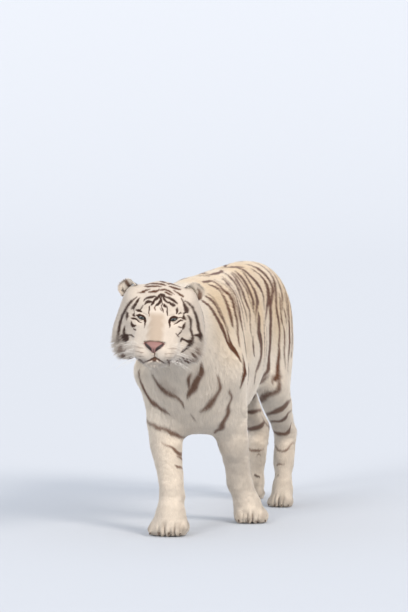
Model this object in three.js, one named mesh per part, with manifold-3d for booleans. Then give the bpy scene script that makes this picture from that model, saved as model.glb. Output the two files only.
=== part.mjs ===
// White tiger, an adult male at life size, walking with its head up and turned a little to its left.
// Millimetres, +Z up. It faces -Y, and its left side is +X. The four soles lie on the plane z = 0.
// The whole coat surface is one implicit field: distances to rounded bones and muscles, blended together.
// The field is meshed at a size that suits each region and then parted by thin cuts into named pieces.

import * as THREE from "three";
import { mergeVertices } from "three/addons/utils/BufferGeometryUtils.js";
import Module from "manifold-3d";

const wasm = await Module();
wasm.setup();

// ---------------------------------------------------------------- driving sizes
const CUT = 0.6; // gap left by each cut
const SIDES = { left: 1, right: -1 };

// Mesh cell sizes, along X, Y and Z.
const CELLS = {
  trunk: [56, 80, 56],
  leg: [33, 33, 50],
  head: [21, 22, 21],
};

// Topline, underline and half width of neck and trunk, from the nape to the buttocks.
const TRUNK_STATIONS = [
  { y: -345, top: 918, bottom: 690, half: 88 },
  { y: -260, top: 944, bottom: 600, half: 120 },
  { y: -160, top: 958, bottom: 470, half: 140 },
  { y: -60, top: 965, bottom: 385, half: 152 },
  { y: 50, top: 970, bottom: 358, half: 160 },
  { y: 200, top: 975, bottom: 366, half: 172 },
  { y: 370, top: 982, bottom: 400, half: 170 },
  { y: 520, top: 992, bottom: 450, half: 148 },
  { y: 650, top: 993, bottom: 506, half: 148 },
  { y: 770, top: 980, bottom: 545, half: 146 },
  { y: 880, top: 950, bottom: 600, half: 126 },
  { y: 965, top: 890, bottom: 650, half: 96 },
  { y: 1010, top: 840, bottom: 700, half: 56 },
];

// Joints of each limb, as a person would lay out an armature. X is positive outward on either side.
const FORELEGS = {
  right: {
    blade: [78, 50, 876],
    shoulder: [138, -62, 610],
    elbow: [134, 12, 425],
    wrist: [56, -128, 160],
    knuckle: [54, -160, 70],
    toe: [56, -208, 34],
    turn: 0,
    size: 88,
  },
  left: {
    blade: [78, 66, 872],
    shoulder: [126, -30, 615],
    elbow: [104, 98, 435],
    wrist: [98, 258, 165],
    knuckle: [122, 296, 66],
    toe: [150, 254, 31],
    turn: 20,
    size: 78,
  },
};
const HINDLEGS = {
  left: {
    hip: [76, 790, 770],
    knee: [116, 668, 520],
    hock: [102, 955, 285],
    knuckle: [117, 850, 62],
    toe: [120, 788, 28],
    turn: 2,
    size: 61,
  },
  right: {
    hip: [76, 800, 770],
    knee: [92, 850, 490],
    hock: [58, 1130, 285],
    knuckle: [62, 1075, 62],
    toe: [62, 1012, 28],
    turn: 2,
    size: 61,
  },
};

// Head, in its own frame: X to its left, F forward and Z up from the point midway between the eyes.
const EYES_AT = [-1, -500, 836];
const HEAD_TURN = { yaw: 12.5, pitch: -6, roll: 3 };
const EYE_RADIUS = 19;
const EYE_HALF_SPACING = 58;
const EYE_DEPTH = -12;
const MOUTH_HEIGHT = -123;
const NOSE = { centre: [0, 117, -84], radii: [39, 28, 22] };
const EAR = {
  base: [107, -108, 40],
  height: 80,
  width: 92,
  widest: 0.5, // at this part of the height
  thickness: 7,
  cup: 26,
  lean: 16, // how far the root is drawn in under the skull's edge
  turn: 24,
  tilt: 6,
  splay: 10,
};

// Tail: its line, hanging behind the right hock and curled clear of the floor, and its radius there.
const TAIL = [
  { at: [0, 950, 850], radius: 54 },
  { at: [0, 1030, 800], radius: 45 },
  { at: [4, 1092, 705], radius: 38 },
  { at: [12, 1130, 590], radius: 34 },
  { at: [20, 1150, 465], radius: 32 },
  { at: [24, 1162, 345], radius: 31 },
  { at: [22, 1184, 240], radius: 30 },
  { at: [12, 1224, 172], radius: 28 },
  { at: [-4, 1274, 142], radius: 24 },
  { at: [-18, 1322, 152], radius: 9 },
];
const TAIL_ROOT = 0.1; // how far along its line it leaves the rump

// ---------------------------------------------------------------- field building blocks
const radians = THREE.MathUtils.degToRad;

// Smooth union of fields: surfaces closer than about k melt into each other.
function blend(k, ...fields) {
  return (x, y, z) => {
    let d = fields[0](x, y, z);
    for (let i = 1; i < fields.length; i++) {
      const e = fields[i](x, y, z);
      const h = Math.max(k - Math.abs(d - e), 0) / k;
      d = Math.min(d, e) - h * h * k * 0.25;
    }
    return d;
  };
}

// The first field less the second, with a rounded edge.
function carve(k, field, tool) {
  return (x, y, z) => {
    const d = field(x, y, z);
    const e = -tool(x, y, z);
    const h = Math.max(k - Math.abs(d - e), 0) / k;
    return Math.max(d, e) + h * h * k * 0.25;
  };
}

// A rounded bone from a to b with a radius at each end. wide stretches its section along X.
function bone(a, b, ra, rb, wide = 1) {
  const ax = a[0] / wide;
  const bx = b[0] / wide;
  const ba = [bx - ax, b[1] - a[1], b[2] - a[2]];
  const length2 = ba[0] ** 2 + ba[1] ** 2 + ba[2] ** 2;
  const taper = ra - rb;
  const a2 = length2 - taper * taper;
  const scale = Math.min(1, wide);
  return (x, y, z) => {
    const px = x / wide - ax;
    const py = y - a[1];
    const pz = z - a[2];
    const along = px * ba[0] + py * ba[1] + pz * ba[2];
    const past = along - length2;
    const qx = px * length2 - ba[0] * along;
    const qy = py * length2 - ba[1] * along;
    const qz = pz * length2 - ba[2] * along;
    const x2 = qx * qx + qy * qy + qz * qz;
    const y2 = along * along * length2;
    const z2 = past * past * length2;
    const k = Math.sign(taper) * taper * taper * x2;
    let d;
    if (Math.sign(past) * a2 * z2 > k) d = Math.sqrt(x2 + z2) / length2 - rb;
    else if (Math.sign(along) * a2 * y2 < k) d = Math.sqrt(x2 + y2) / length2 - ra;
    else d = (Math.sqrt((x2 * a2) / length2) + along * taper) / length2 - ra;
    return d * scale;
  };
}

// A muscle: an ellipsoid with its radii along X, Y, Z, pitched about X by lean degrees.
function muscle(centre, radii, lean = 0) {
  const c = Math.cos(radians(lean));
  const s = Math.sin(radians(lean));
  return (x, y, z) => {
    const px = (x - centre[0]) / radii[0];
    const dy = y - centre[1];
    const dz = z - centre[2];
    const py = (dy * c + dz * s) / radii[1];
    const pz = (dz * c - dy * s) / radii[2];
    const k0 = Math.hypot(px, py, pz);
    const k1 = Math.hypot(px / radii[0], py / radii[1], pz / radii[2]);
    return k1 < 1e-9 ? -Math.min(...radii) : (k0 * (k0 - 1)) / k1;
  };
}

// Smooth curve through stations, one named size at a time.
function profile(stations, size) {
  return (y) => {
    const last = stations.length - 1;
    if (y <= stations[0].y) return stations[0][size];
    if (y >= stations[last].y) return stations[last][size];
    let i = 0;
    while (y > stations[i + 1].y) i++;
    const [p, q] = [stations[i], stations[i + 1]];
    const [o, r] = [stations[Math.max(i - 1, 0)], stations[Math.min(i + 2, last)]];
    const t = (y - p.y) / (q.y - p.y);
    const m0 = ((q[size] - o[size]) / (q.y - o.y)) * (q.y - p.y);
    const m1 = ((r[size] - p[size]) / (r.y - p.y)) * (q.y - p.y);
    const [t2, t3] = [t * t, t * t * t];
    return (
      (2 * t3 - 3 * t2 + 1) * p[size] + (t3 - 2 * t2 + t) * m0 +
      (3 * t2 - 2 * t3) * q[size] + (t3 - t2) * m1
    );
  };
}

// A body swept along Y with a full oval section at each station.
function sweep(stations) {
  const fullness = 2.3;
  const top = profile(stations, "top");
  const bottom = profile(stations, "bottom");
  const half = profile(stations, "half");
  const [first, last] = [stations[0].y, stations[stations.length - 1].y];
  return (x, y, z) => {
    const at = THREE.MathUtils.clamp(y, first, last);
    const height = (top(at) - bottom(at)) / 2;
    const width = half(at);
    const dz = z - (top(at) + bottom(at)) / 2;
    const k0 = (Math.abs(x / width) ** fullness + Math.abs(dz / height) ** fullness) ** (1 / fullness);
    const k1 = Math.hypot(x / width ** 2, dz / height ** 2);
    const d = k1 < 1e-9 ? -Math.min(width, height) : (k0 * (k0 - 1)) / k1;
    const past = Math.abs(y - at);
    return past > 0 ? Math.hypot(Math.max(d, 0), past) + Math.min(d, 0) : d;
  };
}

const sided = (side, p) => [SIDES[side] * p[0], p[1], p[2]];
const between = (a, b, t) => a.map((n, i) => n + (b[i] - n) * t);
const offset = (p, dx, dy, dz) => [p[0] + dx, p[1] + dy, p[2] + dz];

// ---------------------------------------------------------------- limbs
// A point of a paw, from its toe point: dx to the animal's left, forward towards the toes, at height up.
function pawPoint(side, { toe, turn }, dx, forward, up) {
  const yaw = radians(turn * SIDES[side]);
  return [
    toe[0] + dx * Math.cos(yaw) + forward * Math.sin(yaw),
    toe[1] + dx * Math.sin(yaw) - forward * Math.cos(yaw),
    up,
  ];
}

// The four toes lie in a shallow arc, the middle two further forward.
const TOES = [0, 1, 2, 3].map((i) => ({
  number: i + 1,
  across: (i - 1.5) * 0.44,
  reach: i === 1 || i === 2 ? 0.2 : 0.02,
}));

// A paw: a low broad foot, its sole flat on the floor.
function paw(side, joint) {
  const { knuckle, size } = joint;
  const out = (dx, forward, up) => pawPoint(side, joint, dx * size, forward * size, up * size);
  const toes = TOES.map(({ across, reach }) =>
    bone(out(across * 0.86, reach - 0.55, 0.42), out(across, reach, 0.27), 0.3 * size, 0.25 * size));
  const sole = muscle(out(0, -0.55, 0.34), [0.88 * size, 0.86 * size, 0.5 * size]);
  const instep = bone(knuckle, out(0, -0.2, 0.36), 0.66 * size, 0.5 * size);
  return blend(9, blend(5, ...toes), blend(16, sole, instep));
}

// The joints of one leg, mirrored to its side.
function jointsOf(side, leg) {
  return Object.fromEntries(
    Object.entries(leg).map(([name, p]) => [name, Array.isArray(p) ? sided(side, p) : p]),
  );
}

function foreleg(side) {
  const at = jointsOf(side, FORELEGS[side]);
  const s = SIDES[side];
  const shoulder = blend(
    40,
    bone(at.blade, at.shoulder, 66, 84),
    bone(at.shoulder, at.elbow, 82, 66),
    muscle(offset(between(at.blade, at.elbow, 0.55), s * 10, 34, 0), [66, 96, 168], -8),
  );
  const forearm = blend(
    22,
    bone(at.elbow, at.wrist, 68, 47),
    muscle(between(at.elbow, at.wrist, 0.28), [60, 66, 112], 6),
    bone(at.wrist, at.knuckle, 49, 48),
  );
  return blend(26, blend(34, shoulder, forearm), paw(side, at));
}

function hindleg(side) {
  const at = jointsOf(side, HINDLEGS[side]);
  const s = SIDES[side];
  const thigh = blend(
    50,
    bone(at.hip, at.knee, 112, 74, 0.72),
    muscle(offset(between(at.hip, at.hock, 0.3), s * 8, -14, 0), [68, 120, 190], -14),
    bone(between(at.hip, at.hock, 0.2), between(at.knee, at.hock, 0.45), 84, 52, 0.78),
  );
  const shank = blend(
    26,
    bone(at.knee, at.hock, 66, 37),
    bone(between(at.knee, at.hock, 0.2), at.hock, 60, 36),
    bone(offset(at.hock, 0, 12, 6), between(at.hock, at.knuckle, 0.5), 36, 40),
    bone(at.hock, at.knuckle, 38, 40),
  );
  return blend(22, blend(34, thigh, shank), paw(side, at));
}

// ---------------------------------------------------------------- head
const headFrame = new THREE.Matrix4()
  .makeTranslation(...EYES_AT)
  .multiply(
    new THREE.Matrix4().makeRotationFromEuler(
      new THREE.Euler(
        radians(-HEAD_TURN.pitch),
        radians(HEAD_TURN.roll),
        radians(HEAD_TURN.yaw),
        "ZXY",
      ),
    ),
  );

// Head shapes are given as [side, forward, up], and a pair is made for both sides.
const head = (side, forward, up) => [side, -forward, up];
const pair = (make) => blend(8, make(1), make(-1));

function headField() {
  const skull = blend(
    30,
    muscle(head(0, -126, 10), [106, 106, 110]),
    muscle(head(0, -56, 20), [80, 62, 50]),
    muscle(head(0, -165, 0), [100, 95, 95]),
    pair((s) => muscle(head(s * 84, -74, -22), [50, 72, 58])),
    pair((s) => muscle(head(s * 92, -114, 46), [46, 56, 58])),
  );
  const bridge = blend(
    14,
    bone(head(0, -20, -22), head(0, 94, -72), 47, 36, 1.1),
    bone(head(0, 60, -76), head(0, 102, -88), 40, 32, 1.1),
  );
  const muzzle = blend(
    14,
    pair((s) => muscle(head(s * 37, 100, -107), [40, 44, 36])),
    pair((s) => muscle(head(s * 44, 52, -96), [44, 54, 44])),
    muscle(head(0, 96, -96), [34, 42, 30]),
  );
  const jaw = blend(
    22,
    bone(head(0, 99, -138), head(0, 20, -128), 32, 48, 1.25),
    pair((s) => bone(head(s * 30, 40, -132), head(s * 76, -70, -96), 34, 58)),
    muscle(head(0, -60, -112), [84, 92, 58]),
  );
  const ruff = pair((s) => blend(
    30,
    muscle(head(s * 116, -88, -92), [58, 54, 88]),
    muscle(head(s * 96, -130, -44), [66, 70, 108]),
  ));
  const brows = pair((s) => muscle(head(s * 48, -22, 21), [34, 32, 17]));
  const cheeks = pair((s) => bone(head(s * 54, -18, -34), head(s * 48, 48, -84), 33, 37));
  const orbits = pair((s) => muscle(head(s * 62, 10, -2), [23, 18, 13]));
  const face = blend(24, blend(20, skull, brows), blend(20, bridge, cheeks));
  return carve(14, blend(22, face, blend(16, muzzle, jaw), ruff), orbits);
}

// The field above, placed in the part's frame.
function placed(field, matrix) {
  const e = matrix.clone().invert().elements;
  return (x, y, z) => field(
    e[0] * x + e[4] * y + e[8] * z + e[12],
    e[1] * x + e[5] * y + e[9] * z + e[13],
    e[2] * x + e[6] * y + e[10] * z + e[14],
  );
}

// ---------------------------------------------------------------- whole animal
const torso = blend(
  46,
  sweep(TRUNK_STATIONS),
  muscle([0, 740, 800], [156, 220, 186], -8),
  muscle([0, -90, 620], [128, 120, 170], 14),
  bone(TAIL[0].at, TAIL[2].at, TAIL[0].radius, TAIL[2].radius),
);
const limbs = [foreleg("left"), foreleg("right"), hindleg("left"), hindleg("right")];
const animal = blend(
  44,
  limbs.reduce((body, limb) => blend(38, body, limb), torso),
  placed(headField(), headFrame),
);

// ---------------------------------------------------------------- meshing
// Surface nets: one vertex in each cell that the surface crosses, moved onto the surface.
function meshed(field, low, high, cell) {
  const count = low.map((n, i) => Math.ceil((high[i] - n) / cell[i]) + 1);
  const [nx, ny, nz] = count;
  const index = (i, j, k) => (k * ny + j) * nx + i;
  const values = new Float64Array(nx * ny * nz);
  for (let k = 0; k < nz; k++)
    for (let j = 0; j < ny; j++)
      for (let i = 0; i < nx; i++) {
        const edge = i === 0 || j === 0 || k === 0 || i === nx - 1 || j === ny - 1 || k === nz - 1;
        const d = field(low[0] + i * cell[0], low[1] + j * cell[1], low[2] + k * cell[2]);
        values[index(i, j, k)] = edge ? Math.max(d, 1) : d;
      }
  closeCrossings(values, count, index);
  const corners = [];
  for (let c = 0; c < 8; c++) corners.push([c & 1, (c >> 1) & 1, (c >> 2) & 1]);
  const edges = [];
  for (let a = 0; a < 8; a++)
    for (let bit = 1; bit < 8; bit <<= 1) if (!(a & bit)) edges.push([a, a | bit]);
  const points = [];
  const cellVertex = new Map();
  for (let k = 0; k < nz - 1; k++)
    for (let j = 0; j < ny - 1; j++)
      for (let i = 0; i < nx - 1; i++) {
        const d = corners.map(([a, b, c]) => values[index(i + a, j + b, k + c)]);
        const inside = d.filter((n) => n < 0).length;
        if (inside === 0 || inside === 8) continue;
        const sum = [0, 0, 0];
        let crossings = 0;
        for (const [a, b] of edges) {
          if (d[a] < 0 === d[b] < 0) continue;
          const t = d[a] / (d[a] - d[b]);
          for (let n = 0; n < 3; n++) sum[n] += corners[a][n] + (corners[b][n] - corners[a][n]) * t;
          crossings++;
        }
        const p = sum.map((n, axis) => low[axis] + ([i, j, k][axis] + n / crossings) * cell[axis]);
        cellVertex.set(index(i, j, k), points.length / 3);
        points.push(...ontoSurface(field, p, cell));
      }
  const faces = [];
  const quad = (a, b, c, d, flip) => {
    const ring = [a, b, c, d].map((n) => cellVertex.get(n));
    if (flip) ring.reverse();
    const apart = (m, n) => Math.hypot(...[0, 1, 2].map((i) => points[3 * m + i] - points[3 * n + i]));
    if (apart(ring[0], ring[2]) > apart(ring[1], ring[3])) ring.push(ring.shift());
    faces.push(ring[0], ring[1], ring[2], ring[0], ring[2], ring[3]);
  };
  for (let k = 0; k < nz - 1; k++)
    for (let j = 0; j < ny - 1; j++)
      for (let i = 0; i < nx - 1; i++) {
        const here = values[index(i, j, k)] < 0;
        if (j && k && here !== values[index(i + 1, j, k)] < 0)
          quad(index(i, j - 1, k - 1), index(i, j, k - 1), index(i, j, k), index(i, j - 1, k), !here);
        if (i && k && here !== values[index(i, j + 1, k)] < 0)
          quad(index(i - 1, j, k - 1), index(i - 1, j, k), index(i, j, k), index(i, j, k - 1), !here);
        if (i && j && here !== values[index(i, j, k + 1)] < 0)
          quad(index(i - 1, j - 1, k), index(i, j - 1, k), index(i, j, k), index(i - 1, j, k), !here);
      }
  return solid(new Float32Array(points), new Uint32Array(faces));
}

// Where a grid square is inside at two opposite corners only, the nearer outside corner is filled in.
function closeCrossings(values, count, index) {
  const squares = [[1, 2], [0, 2], [0, 1]];
  for (let changed = true; changed;) {
    changed = false;
    for (let k = 0; k < count[2] - 1; k++)
      for (let j = 0; j < count[1] - 1; j++)
        for (let i = 0; i < count[0] - 1; i++)
          for (const [a, b] of squares) {
            const at = (p, q) => {
              const c = [i, j, k];
              c[a] += p;
              c[b] += q;
              return index(...c);
            };
            const square = [at(0, 0), at(1, 1), at(1, 0), at(0, 1)];
            const [p, q, r, t] = square.map((n) => values[n] < 0);
            if (p !== q || r !== t || p === r) continue;
            const outside = p ? square.slice(2) : square.slice(0, 2);
            const nearer = values[outside[0]] < values[outside[1]] ? outside[0] : outside[1];
            values[nearer] = -1e-3;
            changed = true;
          }
  }
}

// Newton steps along the gradient, kept within the cell.
function ontoSurface(field, start, cell) {
  const p = [...start];
  const h = 0.5;
  for (let step = 0; step < 4; step++) {
    const d = field(...p);
    const g = [
      (field(p[0] + h, p[1], p[2]) - field(p[0] - h, p[1], p[2])) / (2 * h),
      (field(p[0], p[1] + h, p[2]) - field(p[0], p[1] - h, p[2])) / (2 * h),
      (field(p[0], p[1], p[2] + h) - field(p[0], p[1], p[2] - h)) / (2 * h),
    ];
    const g2 = g[0] ** 2 + g[1] ** 2 + g[2] ** 2;
    if (g2 < 1e-6) break;
    for (let n = 0; n < 3; n++) {
      const moved = p[n] - (0.8 * d * g[n]) / g2;
      p[n] = THREE.MathUtils.clamp(moved, start[n] - cell[n] * 0.45, start[n] + cell[n] * 0.45);
    }
  }
  return p;
}

function solid(vertProperties, triVerts) {
  return new wasm.Manifold(new wasm.Mesh({ numProp: 3, vertProperties, triVerts }));
}

// ---------------------------------------------------------------- cutting
// A wall is a plane through a point; the side that its normal points to is kept.
function wall(point, normal) {
  const n = new THREE.Vector3(...normal).normalize();
  return { normal: n.toArray(), offset: n.dot(new THREE.Vector3(...point)) };
}

function within(body, walls) {
  return walls.reduce((rest, w) => rest.trimByPlane(w.normal, w.offset), body);
}

// What is left of a body outside the walls, a gap's width away from them.
function without(body, walls) {
  const everything = solidOf(new THREE.BoxGeometry(4000, 5000, 4000));
  const grown = walls.map((w) => ({ normal: w.normal, offset: w.offset - CUT }));
  return body.subtract(within(everything, grown));
}

// The largest connected piece, in case a cut leaves a crumb behind.
function largest(body) {
  return body.decompose().sort((a, b) => b.volume() - a.volume())[0];
}

// A three.js geometry as a closed solid.
function solidOf(geometry) {
  const bare = geometry.clone();
  bare.deleteAttribute("normal");
  bare.deleteAttribute("uv");
  const merged = mergeVertices(bare, 1e-3);
  return solid(new Float32Array(merged.attributes.position.array), new Uint32Array(merged.index.array));
}

function geometryOf(body) {
  const mesh = body.getMesh();
  const geometry = new THREE.BufferGeometry();
  geometry.setAttribute("position", new THREE.BufferAttribute(new Float32Array(mesh.vertProperties), 3));
  geometry.setIndex(new THREE.BufferAttribute(new Uint32Array(mesh.triVerts), 1));
  geometry.computeVertexNormals();
  return geometry;
}

// ---------------------------------------------------------------- materials
const finish = (color, roughness) => new THREE.MeshStandardMaterial({ color, roughness, metalness: 0 });
const COAT_WHITE = finish(0xe9e2d6, 0.9);
const COAT_CREAM = finish(0xd9c6ab, 0.9);
const NOSE_LEATHER = finish(0xb98480, 0.6);
const EYE = finish(0x9fb0bd, 0.1);
const CLAW_HORN = finish(0x4a4038, 0.4);

const tiger = new THREE.Group();
function add(name, body, material) {
  const mesh = new THREE.Mesh(geometryOf(body), material);
  mesh.name = name;
  tiger.add(mesh);
}

// ---------------------------------------------------------------- trunk, neck and upper legs
const FORELEG_TOP = 345;
const HINDLEG_TOP = 446;
const LEG_SPLIT_Y = 560;

const headPoint = (side, forward, up) =>
  new THREE.Vector3(...head(side, forward, up)).applyMatrix4(headFrame).toArray();
const headDirection = (side, forward, up) =>
  new THREE.Vector3(...head(side, forward, up)).transformDirection(headFrame).toArray();

const walls = {
  head: wall(headPoint(0, -168, 0), headDirection(0, 1, 0.2)),
  neck: wall([0, -60, 800], [0, -1, 1]),
  belly: wall([0, 330, 700], [0, 1, 0]),
  rump: wall([0, 575, 540], [0, 1, -0.2]),
};

function upperBody() {
  const whole = meshed(animal, [-330, -480, 300], [330, 1200, 1080], CELLS.trunk);
  const above = without(
    without(whole, [wall([0, 0, FORELEG_TOP], [0, 0, -1]), wall([0, LEG_SPLIT_Y, 0], [0, -1, 0])]),
    [wall([0, 0, HINDLEG_TOP], [0, 0, -1]), wall([0, LEG_SPLIT_Y, 0], [0, 1, 0])],
  );
  return without(above, [walls.head]);
}

function addUpperBody() {
  let rest = upperBody();
  const take = (name, region, material) => {
    add(name, largest(within(rest, region)), material);
    rest = without(rest, region);
  };
  take("neck", [walls.neck], COAT_CREAM);
  for (const [side, s] of Object.entries(SIDES)) {
    const y = FORELEGS[side].elbow[1];
    take(`shoulder_${side}`, [
      wall([s * 34, 0, 400], [s, 0, -0.2]),
      wall([0, 0, 850], [0, 0, -1]),
      wall([0, y * 0.6 + 175, 400], [0, -1, 0.12]),
      wall([0, y * 0.6 - 170, 500], [0, 1, 0.12]),
    ], COAT_WHITE);
  }
  for (const [side, s] of Object.entries(SIDES)) {
    take(`thigh_${side}`, [walls.rump, wall([s * 14, 0, 560], [s, 0, -0.42])], COAT_WHITE);
  }
  rest = without(rest, tailRoot);
  take("rump", [walls.rump], COAT_CREAM);
  take("belly", [walls.belly], COAT_CREAM);
  add("chest", largest(rest), COAT_CREAM);
}

// ---------------------------------------------------------------- lower legs
function legPart(limb, low, high, cell) {
  const field = blend(38, limb, torso);
  const pad = cell.map((n) => n * 1.5);
  const grid = meshed(field, low.map((n, i) => n - pad[i]), high.map((n, i) => n + pad[i]), cell);
  return largest(within(grid, [
    wall([0, 0, low[2] + CUT / 2], [0, 0, 1]),
    wall([0, 0, high[2] - CUT / 2], [0, 0, -1]),
  ]));
}

function reach(points, radius, bottom, top) {
  const xs = points.map((p) => p[0]);
  const ys = points.map((p) => p[1]);
  return [
    [Math.min(...xs) - radius, Math.min(...ys) - radius, bottom],
    [Math.max(...xs) + radius, Math.max(...ys) + radius, top],
  ];
}

// Toes are two cells wide, so that each has its own ridge and the gaps between them their own line.
const pawCell = (size) => [0.22 * size, 0.42 * size, 0.32 * size];

function addLowerLegs() {
  for (const side of Object.keys(SIDES)) {
    const fore = FORELEGS[side];
    const forePoints = [fore.elbow, fore.wrist, fore.toe].map((p) => sided(side, p));
    const limb = foreleg(side);
    const foreBox = (bottom, top) => reach(forePoints, 110, bottom, top);
    add(`forearm_${side}`, legPart(limb, ...foreBox(148, FORELEG_TOP), CELLS.leg), COAT_WHITE);
    const forepaw = legPart(limb, ...foreBox(-CUT / 2, 148), pawCell(fore.size));
    add(`forepaw_${side}`, forepaw, COAT_WHITE);
    addClaws(`claw_fore_${side}`, side, jointsOf(side, fore), forepaw);
    const hind = HINDLEGS[side];
    const hindPoints = [hind.knee, hind.hock, hind.toe].map((p) => sided(side, p));
    const leg = hindleg(side);
    const hindBox = (bottom, top) => reach(hindPoints, 150, bottom, top);
    add(`shank_${side}`, legPart(leg, ...hindBox(262, HINDLEG_TOP), CELLS.leg), COAT_WHITE);
    add(`hind_foot_${side}`, legPart(leg, ...hindBox(104, 262), CELLS.leg), COAT_WHITE);
    const hindpaw = legPart(leg, ...hindBox(-CUT / 2, 104), pawCell(hind.size));
    add(`hindpaw_${side}`, hindpaw, COAT_WHITE);
    addClaws(`claw_hind_${side}`, side, jointsOf(side, hind), hindpaw);
  }
}

// ---------------------------------------------------------------- tail
// A body of round sections along a smooth line of points, from t = from to t = to of its length.
function lofted(line, radiusAt, from, to, rings, sides) {
  const points = [];
  const faces = [];
  const frames = Array.from({ length: rings + 1 }, (_, i) => {
    const t = from + ((to - from) * i) / rings;
    const along = line.getTangentAt(t);
    const across = new THREE.Vector3(1, 0, 0).cross(along).normalize();
    const upward = across.clone().cross(along).negate();
    return { at: line.getPointAt(t), radius: radiusAt(t), u: upward, v: across };
  });
  for (const { at, radius, u, v } of frames)
    for (let k = 0; k < sides; k++) {
      const angle = (2 * Math.PI * k) / sides;
      const p = at.clone().addScaledVector(u, radius * Math.cos(angle));
      points.push(...p.addScaledVector(v, radius * Math.sin(angle)).toArray());
    }
  points.push(...frames[0].at.toArray(), ...frames[rings].at.toArray());
  const [first, last] = [points.length / 3 - 2, points.length / 3 - 1];
  for (let i = 0; i < rings; i++)
    for (let k = 0; k < sides; k++) {
      const next = (k + 1) % sides;
      const [a, b, c, d] = [i * sides + k, i * sides + next, (i + 1) * sides + next, (i + 1) * sides + k];
      faces.push(a, b, c, a, c, d);
    }
  for (let k = 0; k < sides; k++) {
    const next = (k + 1) % sides;
    faces.push(first, next, k, last, rings * sides + k, rings * sides + next);
  }
  return outward(points, faces);
}

// The same closed mesh, turned the right way out if it is inside out.
function outward(points, faces) {
  const body = solid(new Float32Array(points), new Uint32Array(faces));
  if (body.volume() > 0) return body;
  const turned = faces.map((n, i) => (i % 3 === 0 ? n : faces[i % 3 === 1 ? i + 1 : i - 1]));
  return solid(new Float32Array(points), new Uint32Array(turned));
}

// A piece seated on its neighbour: what the neighbour holds is cut away, and the rest moves off by the gap.
function seated(body, neighbour, direction) {
  const away = new THREE.Vector3(...direction).setLength(CUT);
  return largest(body.subtract(neighbour)).translate(away.toArray());
}

// The tail leaves the rump at a flat cut; from there on it is lofted.
const tailPoints = TAIL.map(({ at }) => new THREE.Vector3(...at));
const tailLine = new THREE.CatmullRomCurve3(tailPoints, false, "centripetal");
const tailRoot = [
  wall(tailLine.getPointAt(TAIL_ROOT).toArray(), tailLine.getTangentAt(TAIL_ROOT).toArray()),
  wall([0, tailLine.getPointAt(TAIL_ROOT).y - 70, 0], [0, 1, 0]),
];

function addTail() {
  const radiusAt = (t) => {
    const place = t * (TAIL.length - 1);
    const i = Math.min(Math.floor(place), TAIL.length - 2);
    return THREE.MathUtils.lerp(TAIL[i].radius, TAIL[i + 1].radius, place - i);
  };
  const half = CUT / 2 / tailLine.getLength();
  const lengths = {
    tail_base: [TAIL_ROOT + half, 0.38],
    tail_middle: [0.38, 0.7],
    tail_tip: [0.7, 1 + half],
  };
  for (const [name, [from, to]] of Object.entries(lengths)) {
    add(name, lofted(tailLine, radiusAt, from + half, to - half, 5, 9), COAT_WHITE);
  }
}

// ---------------------------------------------------------------- head pieces
// An ear: a cupped leaf, its hollow facing forward and outward.
function ear(side) {
  const s = SIDES[side];
  const { base, height, width, thickness, cup } = EAR;
  const yaw = radians(EAR.turn * s);
  const tilt = radians(EAR.tilt);
  const across = new THREE.Vector3(Math.cos(yaw), Math.sin(yaw), 0);
  const splay = Math.sin(radians(EAR.splay));
  const rise = new THREE.Vector3(s * splay, Math.sin(tilt), Math.cos(tilt)).normalize();
  const front = across.clone().cross(rise).normalize();
  const [rows, columns] = [5, 6];
  const points = [];
  for (const face of [0, 1])
    for (let i = 0; i <= rows; i++)
      for (let j = 0; j <= columns; j++) {
        const up = i / rows;
        const root = Math.max(0, 1 - up / EAR.widest);
        const round = Math.max(0, up - EAR.widest) / (1.04 - EAR.widest);
        const half = (width / 2) * Math.sqrt(1 - round ** 2) * (1 - 0.4 * root ** 2);
        const sideways = (2 * j) / columns - 1;
        const hollow = cup * (1 - sideways ** 2) * Math.sin(Math.PI * Math.min(0.96, 0.28 + up * 0.62));
        const wall = face ? thickness : 0;
        const p = new THREE.Vector3(...head(s * (base[0] - EAR.lean * root ** 2), base[1], base[2]))
          .addScaledVector(across, half * sideways)
          .addScaledVector(rise, height * up - 6 * sideways ** 2 * up)
          .addScaledVector(front, wall - hollow);
        points.push(...p.applyMatrix4(headFrame).toArray());
      }
  const at = (face, i, j) => face * (rows + 1) * (columns + 1) + i * (columns + 1) + j;
  const faces = [];
  const quad = (a, b, c, d) => faces.push(a, b, c, a, c, d);
  for (let i = 0; i < rows; i++)
    for (let j = 0; j < columns; j++) {
      quad(at(0, i, j), at(0, i + 1, j), at(0, i + 1, j + 1), at(0, i, j + 1));
      quad(at(1, i, j), at(1, i, j + 1), at(1, i + 1, j + 1), at(1, i + 1, j));
    }
  for (let i = 0; i < rows; i++) {
    quad(at(0, i, 0), at(1, i, 0), at(1, i + 1, 0), at(0, i + 1, 0));
    quad(at(0, i, columns), at(0, i + 1, columns), at(1, i + 1, columns), at(1, i, columns));
  }
  for (let j = 0; j < columns; j++) {
    quad(at(0, 0, j), at(0, 0, j + 1), at(1, 0, j + 1), at(1, 0, j));
    quad(at(0, rows, j), at(1, rows, j), at(1, rows, j + 1), at(0, rows, j + 1));
  }
  return outward(points, faces);
}

function ball(centre, radius) {
  const geometry = new THREE.SphereGeometry(radius, 12, 7);
  geometry.applyMatrix4(headFrame.clone().multiply(new THREE.Matrix4().makeTranslation(...centre)));
  return solidOf(geometry);
}

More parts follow.
